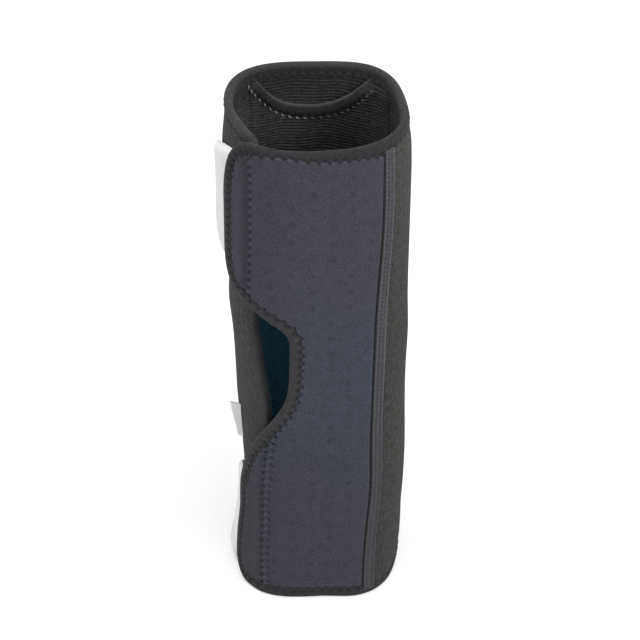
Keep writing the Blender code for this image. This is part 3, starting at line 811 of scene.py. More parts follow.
JOINTS = {
    "right_side": ("back", "right_side", *span(BACK_HALF, -7 * MM, 7 * MM)),
    "left_side": ("back", "left_side", *span(LEFT_HINGE, 7 * MM, -7 * MM)),
    "front_flap": ("right_side", "front_flap", *span(SEAM, 0.3 * MM, 11 * MM)),
    **{f"{name}_closure": ("front_flap", f"{name}_closure", *span(SEAM + tab["root"], -1 * MM, 4 * MM))
       for name, tab in TABS.items()},
}


def join(piece, body):
    """Hangs a piece on the body it names with ride:, or else bakes its place into its mesh."""
    if body.startswith("ride:"):
        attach(piece, body[5:])
    else:
        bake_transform(piece)


def declare(piece, body, nodes, flat, area=None):
    """Joins a cloth to its body and hides the nodes it stands for; flat and area, how it was cut, are not
    used.
    """
    join(piece, body)
    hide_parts(*nodes)


# ------------------------ outer cloths
def side_cloths():
    """The charcoal loop cloth of the back and both sides, in two pieces that meet mid back."""
    s = np.linspace(0.0, SEAM - SEAM_SLIT, SIDE_COLUMNS)[None]
    z = np.linspace(*EDGE_Z, SIDE_ROWS)[:, None]
    loose = side_waves(s, z)
    crease = 0.30 * MM * bell(z - 0.030 - 0.10 * (s - 0.09), 1.6 * MM) * smooth(0.07, 0.09, s)
    seen = loose - crease - edge_pinch(z)
    right = cloth_sheet("right_loop_cloth", wall, s, z, seen, -PANEL, LOOP)
    declare(right, "right_side", ("back_panel", "right_panel"),
            flat=(SEAM, HEIGHT))

    rows = rows_along(underlap_edge, SIDE_ROWS)
    share = np.linspace(0.0, 1.0, SIDE_COLUMNS)[None]
    s = underlap_edge(rows)[:, None] * share
    z = rows[:, None] + 0 * s
    seen = side_waves(s, z) - edge_pinch(z)
    left = cloth_sheet("left_loop_cloth", wall, s, z, seen, -PANEL, LOOP)
    declare(left, "left_side", ("back_panel", "left_panel"),
            flat=(BACK_HALF + UNDERLAP_LOW, HEIGHT))


def side_waves(s, z):
    """The slight unevenness of a soft wall; none mid back, where the two pieces meet."""
    calm = smooth(0.0, 0.02, np.abs(s))
    wave = np.sin(s / 0.0131 + 2.1 * np.sin(z / 0.043)) * np.sin(z / 0.029 + 1.3)
    return 0.22 * MM * calm * wave


def edge_pinch(z):
    """How far the cloth is pressed in under the bindings at both ends."""
    near = np.minimum(z - EDGE_Z[0], EDGE_Z[1] - z)
    return 0.35 * MM * (1 - smooth(3.5 * MM, 7.5 * MM, near))


def rows_along(edge, count, share=1.0):
    """Heights spread evenly along an edge's own length."""
    z = np.linspace(*EDGE_Z, 6000)
    measure = np.concatenate([[0.0], np.cumsum(share * np.abs(np.diff(edge(z))) + np.diff(z))])
    return np.interp(np.linspace(0, measure[-1], count), measure, z)


# ------------------------ the flap's face
# Each stitch of a row leaves marks: (right, up, height, tone, long, wide, slope), lengths in mm from
# its place on the row, right being towards the seam; a tone below 0 is painted shade, above 0 painted
# highlight, and valley is the painted shade of a band beside the row.
UPPER_ROW = {"s": (0.0574, 0.0573, 0.0574), "z": (0.1720, 0.2100, 0.2520), "wide": 1.5 * MM,
             "valley": 0.20, "marks": (
                 (-0.10, -0.1, -0.30, -0.45, 1.25, 0.60, 1.15), (0.65, -1.75, 0.36, 0.45, 0.75, 0.80, 0.0),
                 (0.20, -1.20, 0.12, 0.22, 0.80, 0.40, 1.0))}
LOWER_ROW = {"s": (0.0457, 0.0469, 0.0474, 0.0463, 0.0440),
             "z": (0.0030, 0.0330, 0.0587, 0.0763, 0.1030), "wide": 2.9 * MM, "valley": 0.07, "marks": (
                 (-1.45, 0.0, -1.00, -0.95, 0.78, 0.70, 0.0), (1.35, 1.95, -0.65, -0.88, 0.95, 0.58, -0.75),
                 (0.05, -0.55, 0.38, 0.42, 0.90, 0.85, 0.0), (-2.9, 0.05, -0.18, -0.20, 1.10, 0.45, -0.1),
                 (0.9, 0.75, 0.15, 0.14, 0.60, 0.60, 0.0))}


def row_line(row):
    """A smooth line of sewing up the flap, through the places given past its seam."""
    z = np.linspace(row["z"][0], row["z"][-1], 300)
    order = min(3, len(row["z"]) - 1)
    s = SEAM + np.polyval(np.polyfit(row["z"], row["s"], order), z)
    return Line(s, z, 1)


def flap_columns():
    """Shares of the way from the seam to the free edge, closest where the rows of zigzag run."""
    share = np.linspace(0.0, 1.0, 2000)
    close = 1 + 1.3 * np.exp(-(((share - 0.745) / 0.10) ** 4)) + 0.8 * bell(share, 0.03)
    measure = np.concatenate([[0.0], np.cumsum((close[1:] + close[:-1]) / 2)])
    return np.interp(np.linspace(0, measure[-1], FLAP_COLUMNS), measure, share)


def flap_relief(s, z):
    """Height and shade of the face: dimpled foam, puffed seams, needle holes and zigzag creases; the shade
    is painted shade and painted highlight on these.
    """
    past = s - SEAM
    along, inside = FLAP_OUTLINE.nearest(s, z, 0.016)
    share = along / FLAP_OUTLINE.pitch
    leg = outer_leg(*FLAP_OUTLINE.at(along, 0.0).transpose(2, 0, 1))
    deep = scallop(z)
    height = 0.20 * MM * np.sin(past / 0.0093 + 1.7 * np.sin(z / 0.037)) * np.sin(z / 0.024 + 0.6)
    shade = np.ones_like(s)

    # dimples on a square grid, none near the edges or in the strip outside the zigzag rows, with painted
    # shade in each and a painted highlight round it
    column = (past + 0.0005 - 0.031 * z) / DIMPLE_PITCH
    row = (z - 0.0026 - 0.09 * past) / DIMPLE_PITCH
    off = np.hypot(column - np.round(column), row - np.round(row)) * DIMPLE_PITCH
    strength = (smooth(0.009, 0.013, inside) * smooth(0.003, 0.006, past)
                * (1 - smooth(0.0420, 0.0470, past - 0.008 * smooth(0.150, 0.180, z))))
    strength = strength * (0.75 + 0.5 * np.sin(3.1 * np.round(column) + 5.3 * np.round(row)))
    dimple = bell(off, DIMPLE_RADIUS) * strength
    height -= DIMPLE_DEPTH * (dimple - 0.35 * bell(off - 2.6 * MM, 1.0 * MM) * strength)
    shade -= 0.15 * dimple - 0.045 * bell(off - 2.5 * MM, 0.8 * MM) * strength
    # painted shade: darker low down, more so towards the free edge
    low = 1 - smooth(0.070, 0.125, z)
    shade *= 1 - low * (0.07 + 0.09 * smooth(0.043, 0.058, past))

    # beside the tape the cloth swells, in scallops between the stitches, with a painted highlight along each
    # scallop's edge, painted shade where it meets the tape and in the holes at the cusps
    front = leg - deep * arch(share)
    swell = (0.20 + 0.35 * deep / MM * arch(share)) * bell(inside - front - 0.9 * MM, 1.6 * MM)
    height += MM * (swell + 0.20 * bell(inside - leg - 3.2 * MM, 2.6 * MM))
    height -= 0.75 * MM * (1 - smooth(front - 0.5 * MM, front + 0.35 * MM, inside))
    shade *= 1 + 0.16 * bell(inside - front - 0.55 * MM, 0.35 * MM)
    shade *= 1 - 0.45 * (1 - smooth(front - 0.35 * MM, front + 0.15 * MM, inside))
    hole = cusp(share, FLAP_OUTLINE.pitch, 0.55 * MM) * bell(inside - leg + 0.10 * MM, 0.65 * MM)
    height -= 0.8 * MM * hole
    shade *= 1 - np.clip(0.35 + 0.62 * deep / (0.82 * MM), 0.0, 0.92) * hole

    # the edge at the seam turns down into the groove, with painted shade in the groove and a painted
    # highlight beside it
    turned = np.clip(1 - past / (0.75 * MM), 0.0, 1.0)
    height -= 0.9 * MM * (1 - np.sqrt(1 - turned ** 2)) - 0.18 * MM * bell(past - 3.0 * MM, 2.4 * MM)
    shade *= (1 - 0.80 * smooth(0.45, 0.9, turned)) * (1 + 0.12 * bell(past - 1.0 * MM, 0.45 * MM))

    for row_sizes in (UPPER_ROW, LOWER_ROW):
        dh, ds = zigzag_relief(row_sizes, s, z)
        height += dh
        shade *= ds
    return height, np.clip(shade, 0.12, 1.4)


def zigzag_relief(row, s, z):
    """The groove, pits and lumps that a row of zigzag presses into the face, with painted shade in the pits
    and beside the groove and painted highlight on the lumps.
    """
    line = row_line(row)
    height, shade = np.zeros_like(s), np.ones_like(s)
    low, high = line.points.min(0) - 8 * MM, line.points.max(0) + 8 * MM
    near = (s > low[0]) & (s < high[0]) & (z > low[1]) & (z < high[1])
    ps, pz = s[near], z[near]
    along, away = line.nearest(ps, pz, 9 * MM)
    outer = ps > np.interp(pz, line.points[:, 1], line.points[:, 0])
    apart = np.where(outer, away, -away)
    dh = MM * (0.22 * bell(apart - 5.0 * MM, 2.0 * MM) + 0.16 * bell(apart + 4.0 * MM, 2.2 * MM)
               - 0.34 * bell(apart, 1.9 * MM) - 0.18 * bell(apart - 2.2 * MM, 1.3 * MM))
    # painted shade in a band beside the groove on the free edge's side, and a faint painted highlight
    # further out
    ds = 1 - row["valley"] * bell(apart - 2.1 * MM, 1.5 * MM) + 0.07 * bell(apart - 5.6 * MM, 1.6 * MM)
    for k in range(line.count):
        hs, hz = line.at(k * line.pitch, 0.0)
        close = (np.abs(ps - hs) < 6 * MM) & (np.abs(pz - hz) < 5 * MM)
        right, up = (hs - ps[close]) / MM, (pz[close] - hz) / MM
        for off, rise, lift, tone, long, wide, slope in row["marks"]:
            a, b = right - off, up - rise
            mark = bell(np.hypot(a / long, (b - slope * a) / wide), 1.0)
            mark = mark * (1 + 0.20 * math.sin(2.4 * k + off))
            dh[close] += lift * MM * mark
            ds[close] *= 1 + tone * mark
    height[near], shade[near] = dh, ds
    return height, shade


def flap_face():
    rows = rows_along(flap_edge, FLAP_ROWS, 0.8)
    start = SEAM + SEAM_SLIT
    s = start + (flap_edge(rows)[:, None] - start) * flap_columns()[None]
    z = rows[:, None] + 0 * s
    height, shade = flap_relief(s, z)
    face = cloth_sheet("flap_face_cloth", flap_place, s, z, height, -PANEL, FACE, shade)
    declare(face, "front_flap", ("front_panel",), flat=(FLAP_UPPER, HEIGHT),
            area=FLAP_AREA)
    # short dark slashes of thread lie in the upper row's groove; their near-black colour is dark thread
    # deepened by painted shadow
    line = row_line(UPPER_ROW)
    tilt = np.linspace(-1.0, 1.0, 5)
    slash = line.at(np.arange(line.count) * line.pitch, 0.0)[:, None]
    slash = slash + np.stack([-1.10 * tilt, 0.95 * tilt], 1) * MM
    sunk = -0.02 * MM - 0.10 * MM * tilt ** 2 + 0 * slash[..., 0]
    lines = np.concatenate([slash, sunk[..., None]], -1)
    join(threads("flap_upper_slashes", flap_place, lines, SHADOWED_SLASH_THREAD, 0.24 * MM), "ride:front_flap")
    # each stitch's two strands: face-coloured thread on top, and dark thread sunk lower, its darkness partly
    # painted shade
    for name, row in (("upper", UPPER_ROW), ("lower", LOWER_ROW)):
        line = row_line(row)
        turns = np.arange(2 * line.count) * line.pitch / 2
        side = np.where(np.arange(len(turns)) % 2 == 0, -0.5, 0.5) * row["wide"]
        lines = stitches(line, turns, side, np.full(len(turns), -0.42 * MM), 0.34 * MM)
        join(threads(f"flap_{name}_zigzag", flap_place, lines[1::2], FACE_THREAD), "ride:front_flap")
        join(threads(f"flap_{name}_zigzag_back", flap_place, lines[::2] - (0, 0, 0.25 * MM), DARK_THREAD),
             "ride:front_flap")


# ------------------------ linings
def rib_rows(low, high):
    """Heights of four rows to a rib, and the rib's depth at each: crest, flank, valley, flank. The
    crests fall at whole ribs from the foot, so that the ribs of two cloths run on into each other."""
    steps = np.arange(math.ceil(4 * low / RIB), math.floor(4 * high / RIB) + 1)
    steps = steps[:1 + 4 * ((len(steps) - 1) // 4)]
    z = steps * RIB / 4
    depth = np.array([0.0, 0.42, 1.0, 0.42])[steps % 4]
    z[0], z[-1] = low, high
    return z, depth


def rib_drift(s, z):
    """The ribs wander a little up and down; not at the ends, which the bindings hold."""
    free = smooth(0.0, 0.012, z) * (1 - smooth(HEIGHT - 0.012, HEIGHT, z))
    return MM * free * (0.55 * np.sin(s / 0.0083 + z / 0.031) + 0.40 * np.sin(s / 0.0037 - z / 0.012)
                        + 0.9 * np.sin(s / 0.021 + z / 0.055))


def rib_shade(s, z, depth):
    """Painted shade: light crests and dark valleys, and darker near the top; lower down, out of the light,
    the ribs lie flatter.
    """
    plain = 1 - smooth(*RIB_FADE, z)
    # painted shade: darker near the top, under the binding
    dim = 1 - 0.36 * smooth(0.232, 0.246, z)
    return dim * (1.18 - 0.68 * depth) * (1 - plain) + (1.0 - 0.02 * depth) * plain + 0 * s


def ribbed(name, place, start, edge, body, nodes, flat, area=None):
    """A ribbed lining from a straight start to a shaped edge, ribs on its inner face."""
    face, back = -WALL, -PANEL - GAP
    z, depth = rib_rows(*EDGE_Z)
    share = np.linspace(0.0, 1.0, SIDE_COLUMNS)[None]
    s = start + (edge(z)[:, None] - start) * share
    drift = rib_drift(s, z[:, None])
    flat_low = 0.06 + 0.94 * smooth(*RIB_FADE, z[:, None])
    level = face + RIB_DEPTH * flat_low * depth[:, None] - 0.15 * MM
    shade = rib_shade(s, z[:, None], depth[:, None])
    piece = cloth_sheet(name, place, s, z[:, None] + drift, level, back, KNIT, shade)
    declare(piece, body, nodes, flat=flat, area=area)


def linings():
    ribbed("right_knit_lining", wall, 0.0, lambda z: np.full_like(z, SEAM - SEAM_SLIT), "right_side",
           ("back_lining", "right_lining"), (SEAM, HEIGHT))
    ribbed("left_knit_lining", wall, 0.0, underlap_edge, "left_side", ("back_lining", "left_lining"),
           (BACK_HALF + UNDERLAP_LOW, HEIGHT))
    ribbed("flap_knit_lining", flap_place, SEAM + SEAM_SLIT, flap_edge, "front_flap",
           ("front_lining",), (FLAP_UPPER, HEIGHT), FLAP_AREA)


# ------------------------ seam
def seam_line():
    """The seam's twill tape: turned edge at the groove, stitched twice, with a raised far edge, and painted
    shade and highlights.
    """
    low, high = EDGE_Z[0] + 2.5 * MM, EDGE_Z[1] - 3.5 * MM
    z = np.linspace(low, high, 641)
    across = MM * np.concatenate([
        np.linspace(0.25, 1.0, 6), np.linspace(1.25, 4.4, 14), np.linspace(4.6, 5.6, 6)])
    s = SEAM - across[None]
    turned = np.clip(1 - (across - 0.25 * MM) / (0.6 * MM), 0.0, 1.0)
    level = 0.75 * MM - 0.8 * MM * (1 - np.sqrt(1 - turned ** 2))
    level += 0.16 * MM * bell(across - 3.0 * MM, 1.1 * MM) + 0.50 * MM * bell(across - 4.75 * MM, 0.60 * MM)
    first, second = (row_dots(z, across, *row) for row in SEAM_ROWS)
    sunk = sum(bell(across - offset, 0.35 * MM) for offset, _ in SEAM_ROWS)
    level = level[None] - 0.30 * MM * (first + second) - 0.16 * MM * sunk[None]
    level = level + 0.07 * MM * np.sin(z / 0.0007)[:, None] * bell(across - 4.8 * MM, 0.6 * MM)[None]
    # painted shade in the needle holes and the groove at the turned edge; painted highlight on the raised
    # far edge and beside the groove, both fainter low down; the tape darker lower down; painted shade where
    # its far edge goes under
    clear = 0.35 + 0.65 * smooth(0.110, 0.190, z)[:, None]
    crisp = smooth(0.050, 0.170, z)[:, None]
    shade = 1 - (0.60 * first + 0.30 * second) * clear - 0.52 * smooth(0.35, 0.9, turned)[None]
    shade = shade + bell(across - 4.80 * MM, 0.50 * MM) * (0.60 * crisp - 0.14)
    shade = (shade + 0.25 * bell(across - 0.95 * MM, 0.35 * MM) * crisp) * (0.87 + 0.13 * crisp)
    shade = shade - 0.35 * smooth(5.15 * MM, 5.55 * MM, across)[None]
    s = s + 0 * z[:, None]
    rows = z[:, None] + 0 * s
    points = wall(s, rows, level)
    under = wall(s[:, [-1, 0]], rows[:, [-1, 0]], np.array([-0.15 * MM, -1.2 * MM])[None])
    ring = np.concatenate([points, under], 1)
    cloth = np.concatenate([np.stack([s, rows], -1), np.stack([s[:, [-1, 0]], rows[:, [-1, 0]]], -1)], 1)
    # painted shade on the tape's hidden underside
    tone = np.concatenate([shade, np.full((len(z), 2), 0.35)], 1)
    tape = ring_loft("seam_twill_tape", ring, TWILL, cloth, tone)
    declare(tape, "ride:right_side", ("seam_tape",), flat=(TAPE_CUT, HEIGHT),
            area=0.0080 * HEIGHT)
    rows = []
    for offset, shift in (*SEAM_ROWS, PANEL_ROW):
        count = int((high - low) / SEAM_STITCH) - 1
        start = low + (np.arange(count) + shift) * SEAM_STITCH
        run = start[:, None] + np.linspace(0.25 * MM, 2.05 * MM, 5)
        base = 0.62 * MM if offset < 6 * MM else 0.0
        lift = base - 0.20 * MM + 0.24 * MM * np.sin(math.pi * np.linspace(0, 1, 5))
        rows.append(np.stack([np.full_like(run, SEAM - offset), run, np.tile(lift, (count, 1))], -1))
    sewn = threads("seam_double_stitch", wall, np.concatenate(rows), DARK_THREAD, 0.16 * MM)
    join(sewn, "ride:right_side")


def row_dots(z, across, offset, shift):
    """Needle holes of a straight row of stitches."""
    holes = cusp(z / SEAM_STITCH + shift, SEAM_STITCH, 0.40 * MM)
    return holes[:, None] * bell(across - offset, 0.42 * MM)[None]


# ------------------------ pocket
def pocket():
    """The cloth of the stay's pocket, on the inside of the back."""
    z, depth = rib_rows(POCKET_BOTTOM, HEIGHT - 4.0 * MM)
    s = np.linspace(-POCKET_SEWN[0], POCKET_SEWN[1], 89)[None]
    # the ribs stay level up to the mouth; the rows above it gather under its tape
    room = 2.2 * MM
    start = np.minimum(mouth_edge(s), HEIGHT - 3.0 * MM) - 1.0 * MM - room
    past = np.maximum(z[:, None] - start, 0.0)
    most = z[-1] - start
    height = np.where(past > 0, start + room * past / (past + room) * (most + room) / most, z[:, None])
    free = 1 - smooth(0.0, 1.6 * MM, past)
    depth = depth[:, None] * free + 0.3 * (1 - free)
    # the ribs dip by one where the cloth falls away from the stay to its side seams
    dip = to_seams(s, (0.0190, 0.0358), (0.0250, 0.0425))
    drift = (rib_drift(s, height) - RIB * dip * smooth(0.010, 0.020, height)) * free
    seam = np.where(s < 0, -s - POCKET_SEWN[0], s - POCKET_SEWN[1])
    sewn = smooth(-2.2 * MM, 0.0, seam) * (POCKET_CLOTH + GAP + 0.25 * MM)
    stand = pocket_standoff(s, height) + POCKET_CLOTH - sewn
    face = -WALL - stand * (1 - 0.9 * smooth(*POCKET_PRESSED, height))
    puff = 0.30 * MM * np.sin(s / 0.0105 + 0.8) * np.sin(height / 0.034)
    level = face + RIB_DEPTH * depth + puff * (1 - smooth(0.020, 0.031, np.abs(s)))
    # painted shade along the right side seam
    shade = rib_shade(s, z[:, None], depth) * (1 - 0.22 * smooth(-1.4 * MM, 0.0, seam) * (s > 0))
    cloth = cloth_sheet("pocket_knit", wall, s, height + drift, level, face + POCKET_CLOTH, KNIT, shade)
    declare(cloth, "right_side", ("pocket_panel",),
            flat=(sum(POCKET_SEWN), HEIGHT - POCKET_BOTTOM))


def pocket_mouth():
    """The tape along the mouth, and the stitches that hold it."""
    s_line = np.linspace(-POCKET_SEWN[0], POCKET_SEWN[1], 800)
    s_line = s_line[mouth_edge(s_line) < HEIGHT - 2.4 * MM]
    line = Line(s_line, mouth_edge(s_line), -1)
    along = np.linspace(0.0, line.length, STITCH_STEPS * line.count + 1)
    across = np.array([0.0, 0.10, 0.35, 0.8, 1.6, 2.6, 3.4, 4.0, 4.5, 4.9]) * MM
    turned = np.clip(1 - across / (0.8 * MM), 0.0, 1.0)
    lift = 1.15 * MM - 0.9 * MM * (1 - np.sqrt(1 - turned ** 2))
    lift = lift - 0.45 * MM * smooth(3.0 * MM, across[-1], across)
    flat_across = across[None] + 0 * along[:, None]
    hole = needle(along / MOUTH_STITCH, MOUTH_STITCH, flat_across - 4.3 * MM, 0.90 * MM)
    middle = line.at(along, 0.0)
    wide = (1 + 0.16 * bell(middle[:, :1], 0.022)) * across[None]
    spot = line.at(along[:, None] + 0 * across, wide - MOUTH_LAP)
    pressed = 1 - 0.97 * smooth(*POCKET_PRESSED, middle[:, 1:])
    stand = pocket_standoff(spot[..., 0], np.minimum(spot[..., 1], MOUTH_LOW)) + POCKET_CLOTH
    base = -WALL - stand * pressed
    level = base - lift[None] * pressed + 0.35 * MM * hole
    back = line.at(along[:, None] + np.zeros(2), np.array([across[-1], -MOUTH_LAP]))
    under = np.stack([base[:, -1] + 0.1 * MM, base[:, 0] + POCKET_CLOTH], 1)
    ring = np.concatenate([
        wall(spot[..., 0], spot[..., 1], level), wall(back[..., 0], back[..., 1], under)], 1)
    # painted highlight on the turned top edge, painted shade in the needle holes and towards the lower edge
    tone = (0.86 + 0.60 * bell(across - 0.15 * MM, 0.30 * MM)[None]) * (1 - 0.65 * hole) * (
        1 - 0.25 * smooth(3.4 * MM, 4.8 * MM, across)[None])
    tone = np.concatenate([tone, np.ones((len(along), 2))], 1)
    tape = ring_loft("pocket_mouth_binding", ring, TAPE_CLOTH, np.concatenate([spot, back], 1), tone)
    declare(tape, "ride:back", ("pocket_mouth_tape",), flat=(TAPE_CUT, line.length),
            area=0.0060 * line.length)

    # below the tape each stitch shows as a short bit of thread, pale on the left: painted glints, dimmer on
    # the right
    starts = (np.arange(int(line.length / MOUTH_STITCH)) + 0.5) * MOUTH_STITCH
    run = starts[:, None] + np.array([-0.60, 0.0, 0.60]) * MM
    below = np.array([5.25, 5.60, 5.95]) * MM + 0 * run
    below = below + 0.95 * MM * (1 - smooth(0.010, 0.028, np.abs(line.at(run, 0.0)[..., 0])))
    spot = line.at(run, below)
    depth = -WALL - pocket_standoff(spot[..., 0], spot[..., 1]) - POCKET_CLOTH
    lines = np.concatenate([spot, (depth - np.array([0.10, 0.42, 0.10]) * MM)[..., None]], -1)
    pale = lines[:, 1, 0] < -5 * MM
    join(threads("pocket_mouth_zigzag", wall, lines[pale], GLINT_THREAD, 0.32 * MM), "ride:back")
    join(threads("pocket_mouth_zigzag_right", wall, lines[~pale], DIM_GLINT_THREAD, 0.34 * MM), "ride:back")


# ------------------------ closing tabs and label
def tongue(past):
    """A tab's width as a share of its full width, at a distance past its fold."""
    return np.sqrt(np.clip(1.0 - (TAB_TAPER * past / TAB_LENGTH) ** 2, 0.0, 1.0))


def tab_level(past, z, bulge, swell):
    """How far out a tab's inner face lies: it clears its hooks, and bulges between its fold and end."""
    share = past / TAB_LENGTH
    lift = (HOOK_THICK + GAP) * smooth(0.0, 0.3, share)
    billow = bulge * np.sin(math.pi * np.clip(share / 0.9, 0.0, 1.0)) ** 2
    most, middle, spread = swell
    swollen = smooth(0.0, 0.16, share) * (1 - smooth(0.45, 0.95, share))
    return TAB_STANDOFF + lift + (billow + most * bell(z - middle, spread) * swollen)


def closing_tab(name, root, span, bulge, swell):
    """One white ribbon from under the flap, over its fold and round the left side."""
    low, high = span
    fold = SEAM + root
    rows = np.linspace(low, high, 60)
    start = GIRTH + float(np.max(underlap_edge(rows))) + 5.0 * MM + GAP
    run = np.concatenate([np.linspace(start, fold, 21), np.linspace(fold, fold + TAB_LENGTH, 45)[1:]])
    run = run[:1 + 4 * ((len(run) - 1) // 4)]
    run[-1] = fold + TAB_LENGTH
    past = np.maximum(run - fold, 0.0)
    up = np.linspace(-1.0, 1.0, 49)[:, None]
    half = (high - low) / 2
    s = run[None] + 0 * up
    z = (low + high) / 2 + up * half * tongue(past)[None]
    inside = half * tongue(past)[None] * (1 - np.abs(up))
    # its long edges bend in towards the wall, clear of the hooks
    droop = TAB_DROOP * (1 - smooth(0.0, HOOK_MARGIN, inside))
    level = tab_level(past[None], z, bulge, swell) - droop * smooth(0.0, 0.3, past / TAB_LENGTH)[None]
    selvedge = smooth(0.0, 0.8 * MM, inside)
    ripple = 0.12 * MM * np.sin(s / 0.0061 + 1.1 * np.sin(z / 0.011)) * smooth(0.002, 0.010, past)
    seen = level + TAB_THICK * (0.55 + 0.45 * selvedge) + ripple
    # painted shade: darker along the long edges, where they bend in towards the wall
    shade = 0.90 + 0.10 * smooth(0.0, 1.4 * MM, inside)
    tab = cloth_sheet(f"{name}_ribbon_tab", wall, s, z, seen, level, RIBBON, shade)
    fullness = float(np.mean(tongue(np.linspace(0, TAB_LENGTH, 200))))
    declare(tab, f"{name}_closure", (f"{name}_tab", f"{name}_tab_root"),
            flat=(2 * half, fold + TAB_LENGTH - start),
            area=2 * half * (fold - start + fullness * TAB_LENGTH))
    hook_patch(name, fold, span, bulge, swell)


def hook_patch(name, fold, span, bulge, swell):
    """The pale patch under a tab's tongue, with its rows of hooks."""
    low, high = span
    half = (high - low) / 2
    run = np.linspace(fold + HOOK_START, fold + TAB_LENGTH - HOOK_MARGIN, 13)
    past = run - fold
    up = np.linspace(-1.0, 1.0, 17)[:, None]
    s = run[None] + 0 * up
    z = (low + high) / 2 + up * (half * tongue(past)[None] - HOOK_MARGIN)
    level = tab_level(past[None], z, bulge, swell) - 0.05 * MM
    patch = cloth_sheet(f"{name}_hook_patch", wall, s, z, level - 0.30 * MM, level, HOOKS)
    wide, long = 2 * half - 2 * HOOK_MARGIN, TAB_LENGTH - HOOK_MARGIN - HOOK_START
    declare(patch, f"ride:{name}_closure", (f"{name}_tab_hook",), flat=(wide, long),
            area=0.88 * wide * long)
    lines = []
    for place_s in np.arange(run[0] + 0.7 * MM, run[-1], HOOK_PITCH):
        reach = half * float(tongue(place_s - fold)) - HOOK_MARGIN - 0.5 * MM
        middle = (low + high) / 2
        for place_z in np.arange(middle - reach, middle + reach, HOOK_PITCH):
            base = float(tab_level(place_s - fold, place_z, bulge, swell)) - 0.30 * MM
            lines.append([[place_s + on, place_z, base - down] for on, down in HOOK_BEND])
    join(threads(f"{name}_hooks", wall, lines, HOOKS, 0.09 * MM, 4), f"ride:{name}_closure")


def label():
    """A folded ribbon loop sewn flat into the left side, standing out and swept to the back."""
    place = LEFT_HINGE - LABEL_FROM_HINGE + 2.5 * MM
    z = np.linspace(*LABEL_SPAN, 25)
    turn = np.linspace(0.0, math.pi, 9)
    half, thick = 0.60 * MM, 0.28 * MM
    reach = LABEL_REACH - half
    outer = [(-half * 1.3, 0.0), (-half * 1.05, reach * 0.5)]
    outer += [(-half * math.cos(t), reach + half * math.sin(t)) for t in turn]
    outer += [(half * 1.05, reach * 0.5), (half * 1.3, 0.0)]
    inner = [(half * 1.3 - thick, 0.0), (half * 0.6, reach * 0.5)]
    inner += [((half - thick) * math.cos(t), reach + (half - thick) * math.sin(t)) for t in turn]
    inner += [(-half * 0.6, reach * 0.5), (-half * 1.3 + thick, 0.0)]
    profile = np.array(outer + inner)
    lean = 0.25 * MM * np.sin(z / 0.0052)[:, None] * (profile[:, 1] / LABEL_REACH)[None]
    reach = (0.45 + 0.37 * smooth(*LABEL_SPAN, z))[:, None] * profile[None, :, 1]
    around = place + profile[None, :, 0] + lean + LABEL_SWEEP * reach
    out = 0.05 * MM + reach
    points = wall(around, z[:, None] + 0 * around, out)
    cloth = np.stack([out, z[:, None] + 0 * out], -1)
    piece = ring_loft("side_ribbon_label", points, RIBBON, cloth)
    declare(piece, "ride:left_side", ("side_label",), flat=(LABEL_CUT, LABEL_HEIGHT))


# ------------------------ putting it together
def bindings():
    """The four bound edges, and the bindings of the frame that each stands for."""
    edges = (
        ("right_top_rim", RIGHT_TOP, wall, "right_side", ("back_top", "right_top")),
        ("right_bottom_rim", RIGHT_BOTTOM, wall, "right_side", ("back_bottom", "right_bottom")),
        ("left_rim", UNDERLAP_OUTLINE, wall, "left_side",
         ("back_top", "back_bottom", "left_top", "left_front", "left_bottom")),
        ("flap_rim", FLAP_OUTLINE, flap_place, "front_flap", ("flap_top", "flap_edge", "flap_bottom")))
    for name, line, place, body, stands_for in edges:
        nodes = [f"{node_name}_binding" for node_name in stands_for]
        declare(bound_edge(name, line, place), body, nodes,
                flat=(BINDING_CUT, line.length))
        join(sew(f"{name}_thread", line, place), body)


def finish_stay():
    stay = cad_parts["splint_stay"]
    stay.data.materials.clear()
    stay.data.materials.append(METAL)


DAYLIGHT = 0.40                            # the world's light on the part; the camera sees it white
FLOOR_GLOW = 0.42                          # lifts the floor to white where the camera sees it
FLOOR_PAPER = 0.72


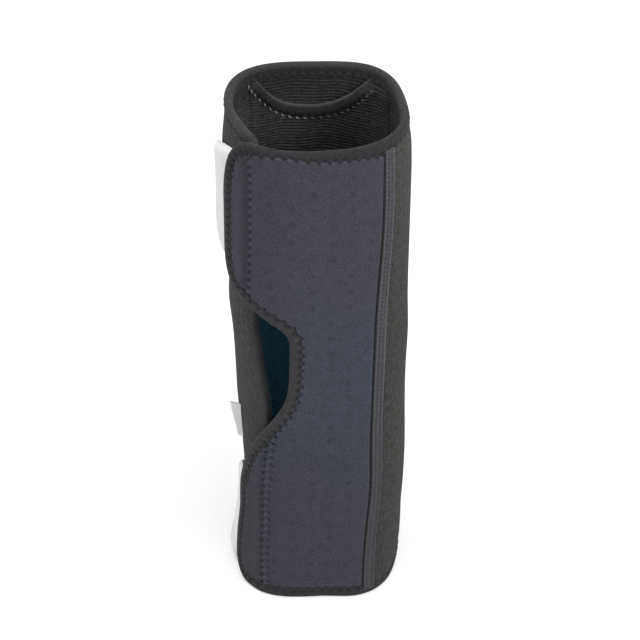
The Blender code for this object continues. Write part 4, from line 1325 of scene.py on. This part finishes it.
def studio():
    """White floor, level soft light and a camera that looks down at the front."""
    floor = bpy.data.meshes.new("floor")
    floor.from_pydata([(-4, -4, 0), (4, -4, 0), (4, 4, 0), (-4, 4, 0)], [], [(0, 1, 2, 3)])
    paper = Graph("paper", 0.9, specular=0.0)
    seen = node(paper.tree, "ShaderNodeLightPath", output="Is Camera Ray")
    glow = paper.mix(seen, (0.0,) * 3, (FLOOR_GLOW,) * 3)
    paper.tree.links.new(glow.socket, paper.shader.inputs["Emission Color"])
    paper.shader.inputs["Emission Strength"].default_value = 1.0
    paper.shader.inputs["Base Color"].default_value = (*(FLOOR_PAPER,) * 3, 1.0)
    floor.materials.append(paper.material)
    ground = bpy.data.objects.new("floor", floor)
    bpy.context.scene.collection.objects.link(ground)

    world = bpy.context.scene.world or bpy.data.worlds.new("world")
    bpy.context.scene.world = world
    world.use_nodes = True
    tree = world.node_tree
    rays = [node(tree, "ShaderNodeLightPath", output=f"Is {kind} Ray")
            for kind in ("Camera", "Glossy", "Transmission")]
    white = node(tree, "ShaderNodeMath", {"operation": "ADD"}, {
        0: (rays[0] + rays[1] + rays[2]) * (1.0 - DAYLIGHT), 1: DAYLIGHT})
    background = tree.nodes["Background"]
    background.inputs["Color"].default_value = (1.0, 1.0, 1.0, 1.0)
    tree.links.new(white.socket, background.inputs["Strength"])
    soft_light("key", (1.45, -1.20, 1.35), 0.9, 27.0)
    soft_light("top", (0.0, -0.2, 1.75), 1.0, 15.0)
    soft_light("side", (-1.6, -0.3, 0.9), 1.0, 9.0)

    aim = Vector((0.002453, -0.002620, 0.142))
    down = math.radians(35)
    lens = bpy.data.cameras.new("camera")
    lens.lens = 119.8
    lens.sensor_width = 36
    camera = bpy.data.objects.new("camera", lens)
    camera.location = aim + Vector((0.0, -math.cos(down), math.sin(down)))
    camera.rotation_euler = (math.radians(90) - down, 0.0, 0.0)
    bpy.context.scene.collection.objects.link(camera)
    bpy.context.scene.camera = camera
    bpy.context.scene.view_settings.view_transform = "Standard"


def soft_light(name, place, size, power):
    light = bpy.data.lights.new(name, "AREA")
    light.size = size
    light.energy = power
    lamp = bpy.data.objects.new(name, light)
    lamp.location = place
    lamp.rotation_euler = (Vector((0, 0, 0.12)) - Vector(place)).to_track_quat("-Z", "Y").to_euler()
    bpy.context.scene.collection.objects.link(lamp)


studio()
side_cloths()
linings()
flap_face()
bindings()
seam_line()
pocket()
pocket_mouth()
for tab_name, tab_sizes in TABS.items():
    closing_tab(tab_name, **tab_sizes)
label()
finish_stay()
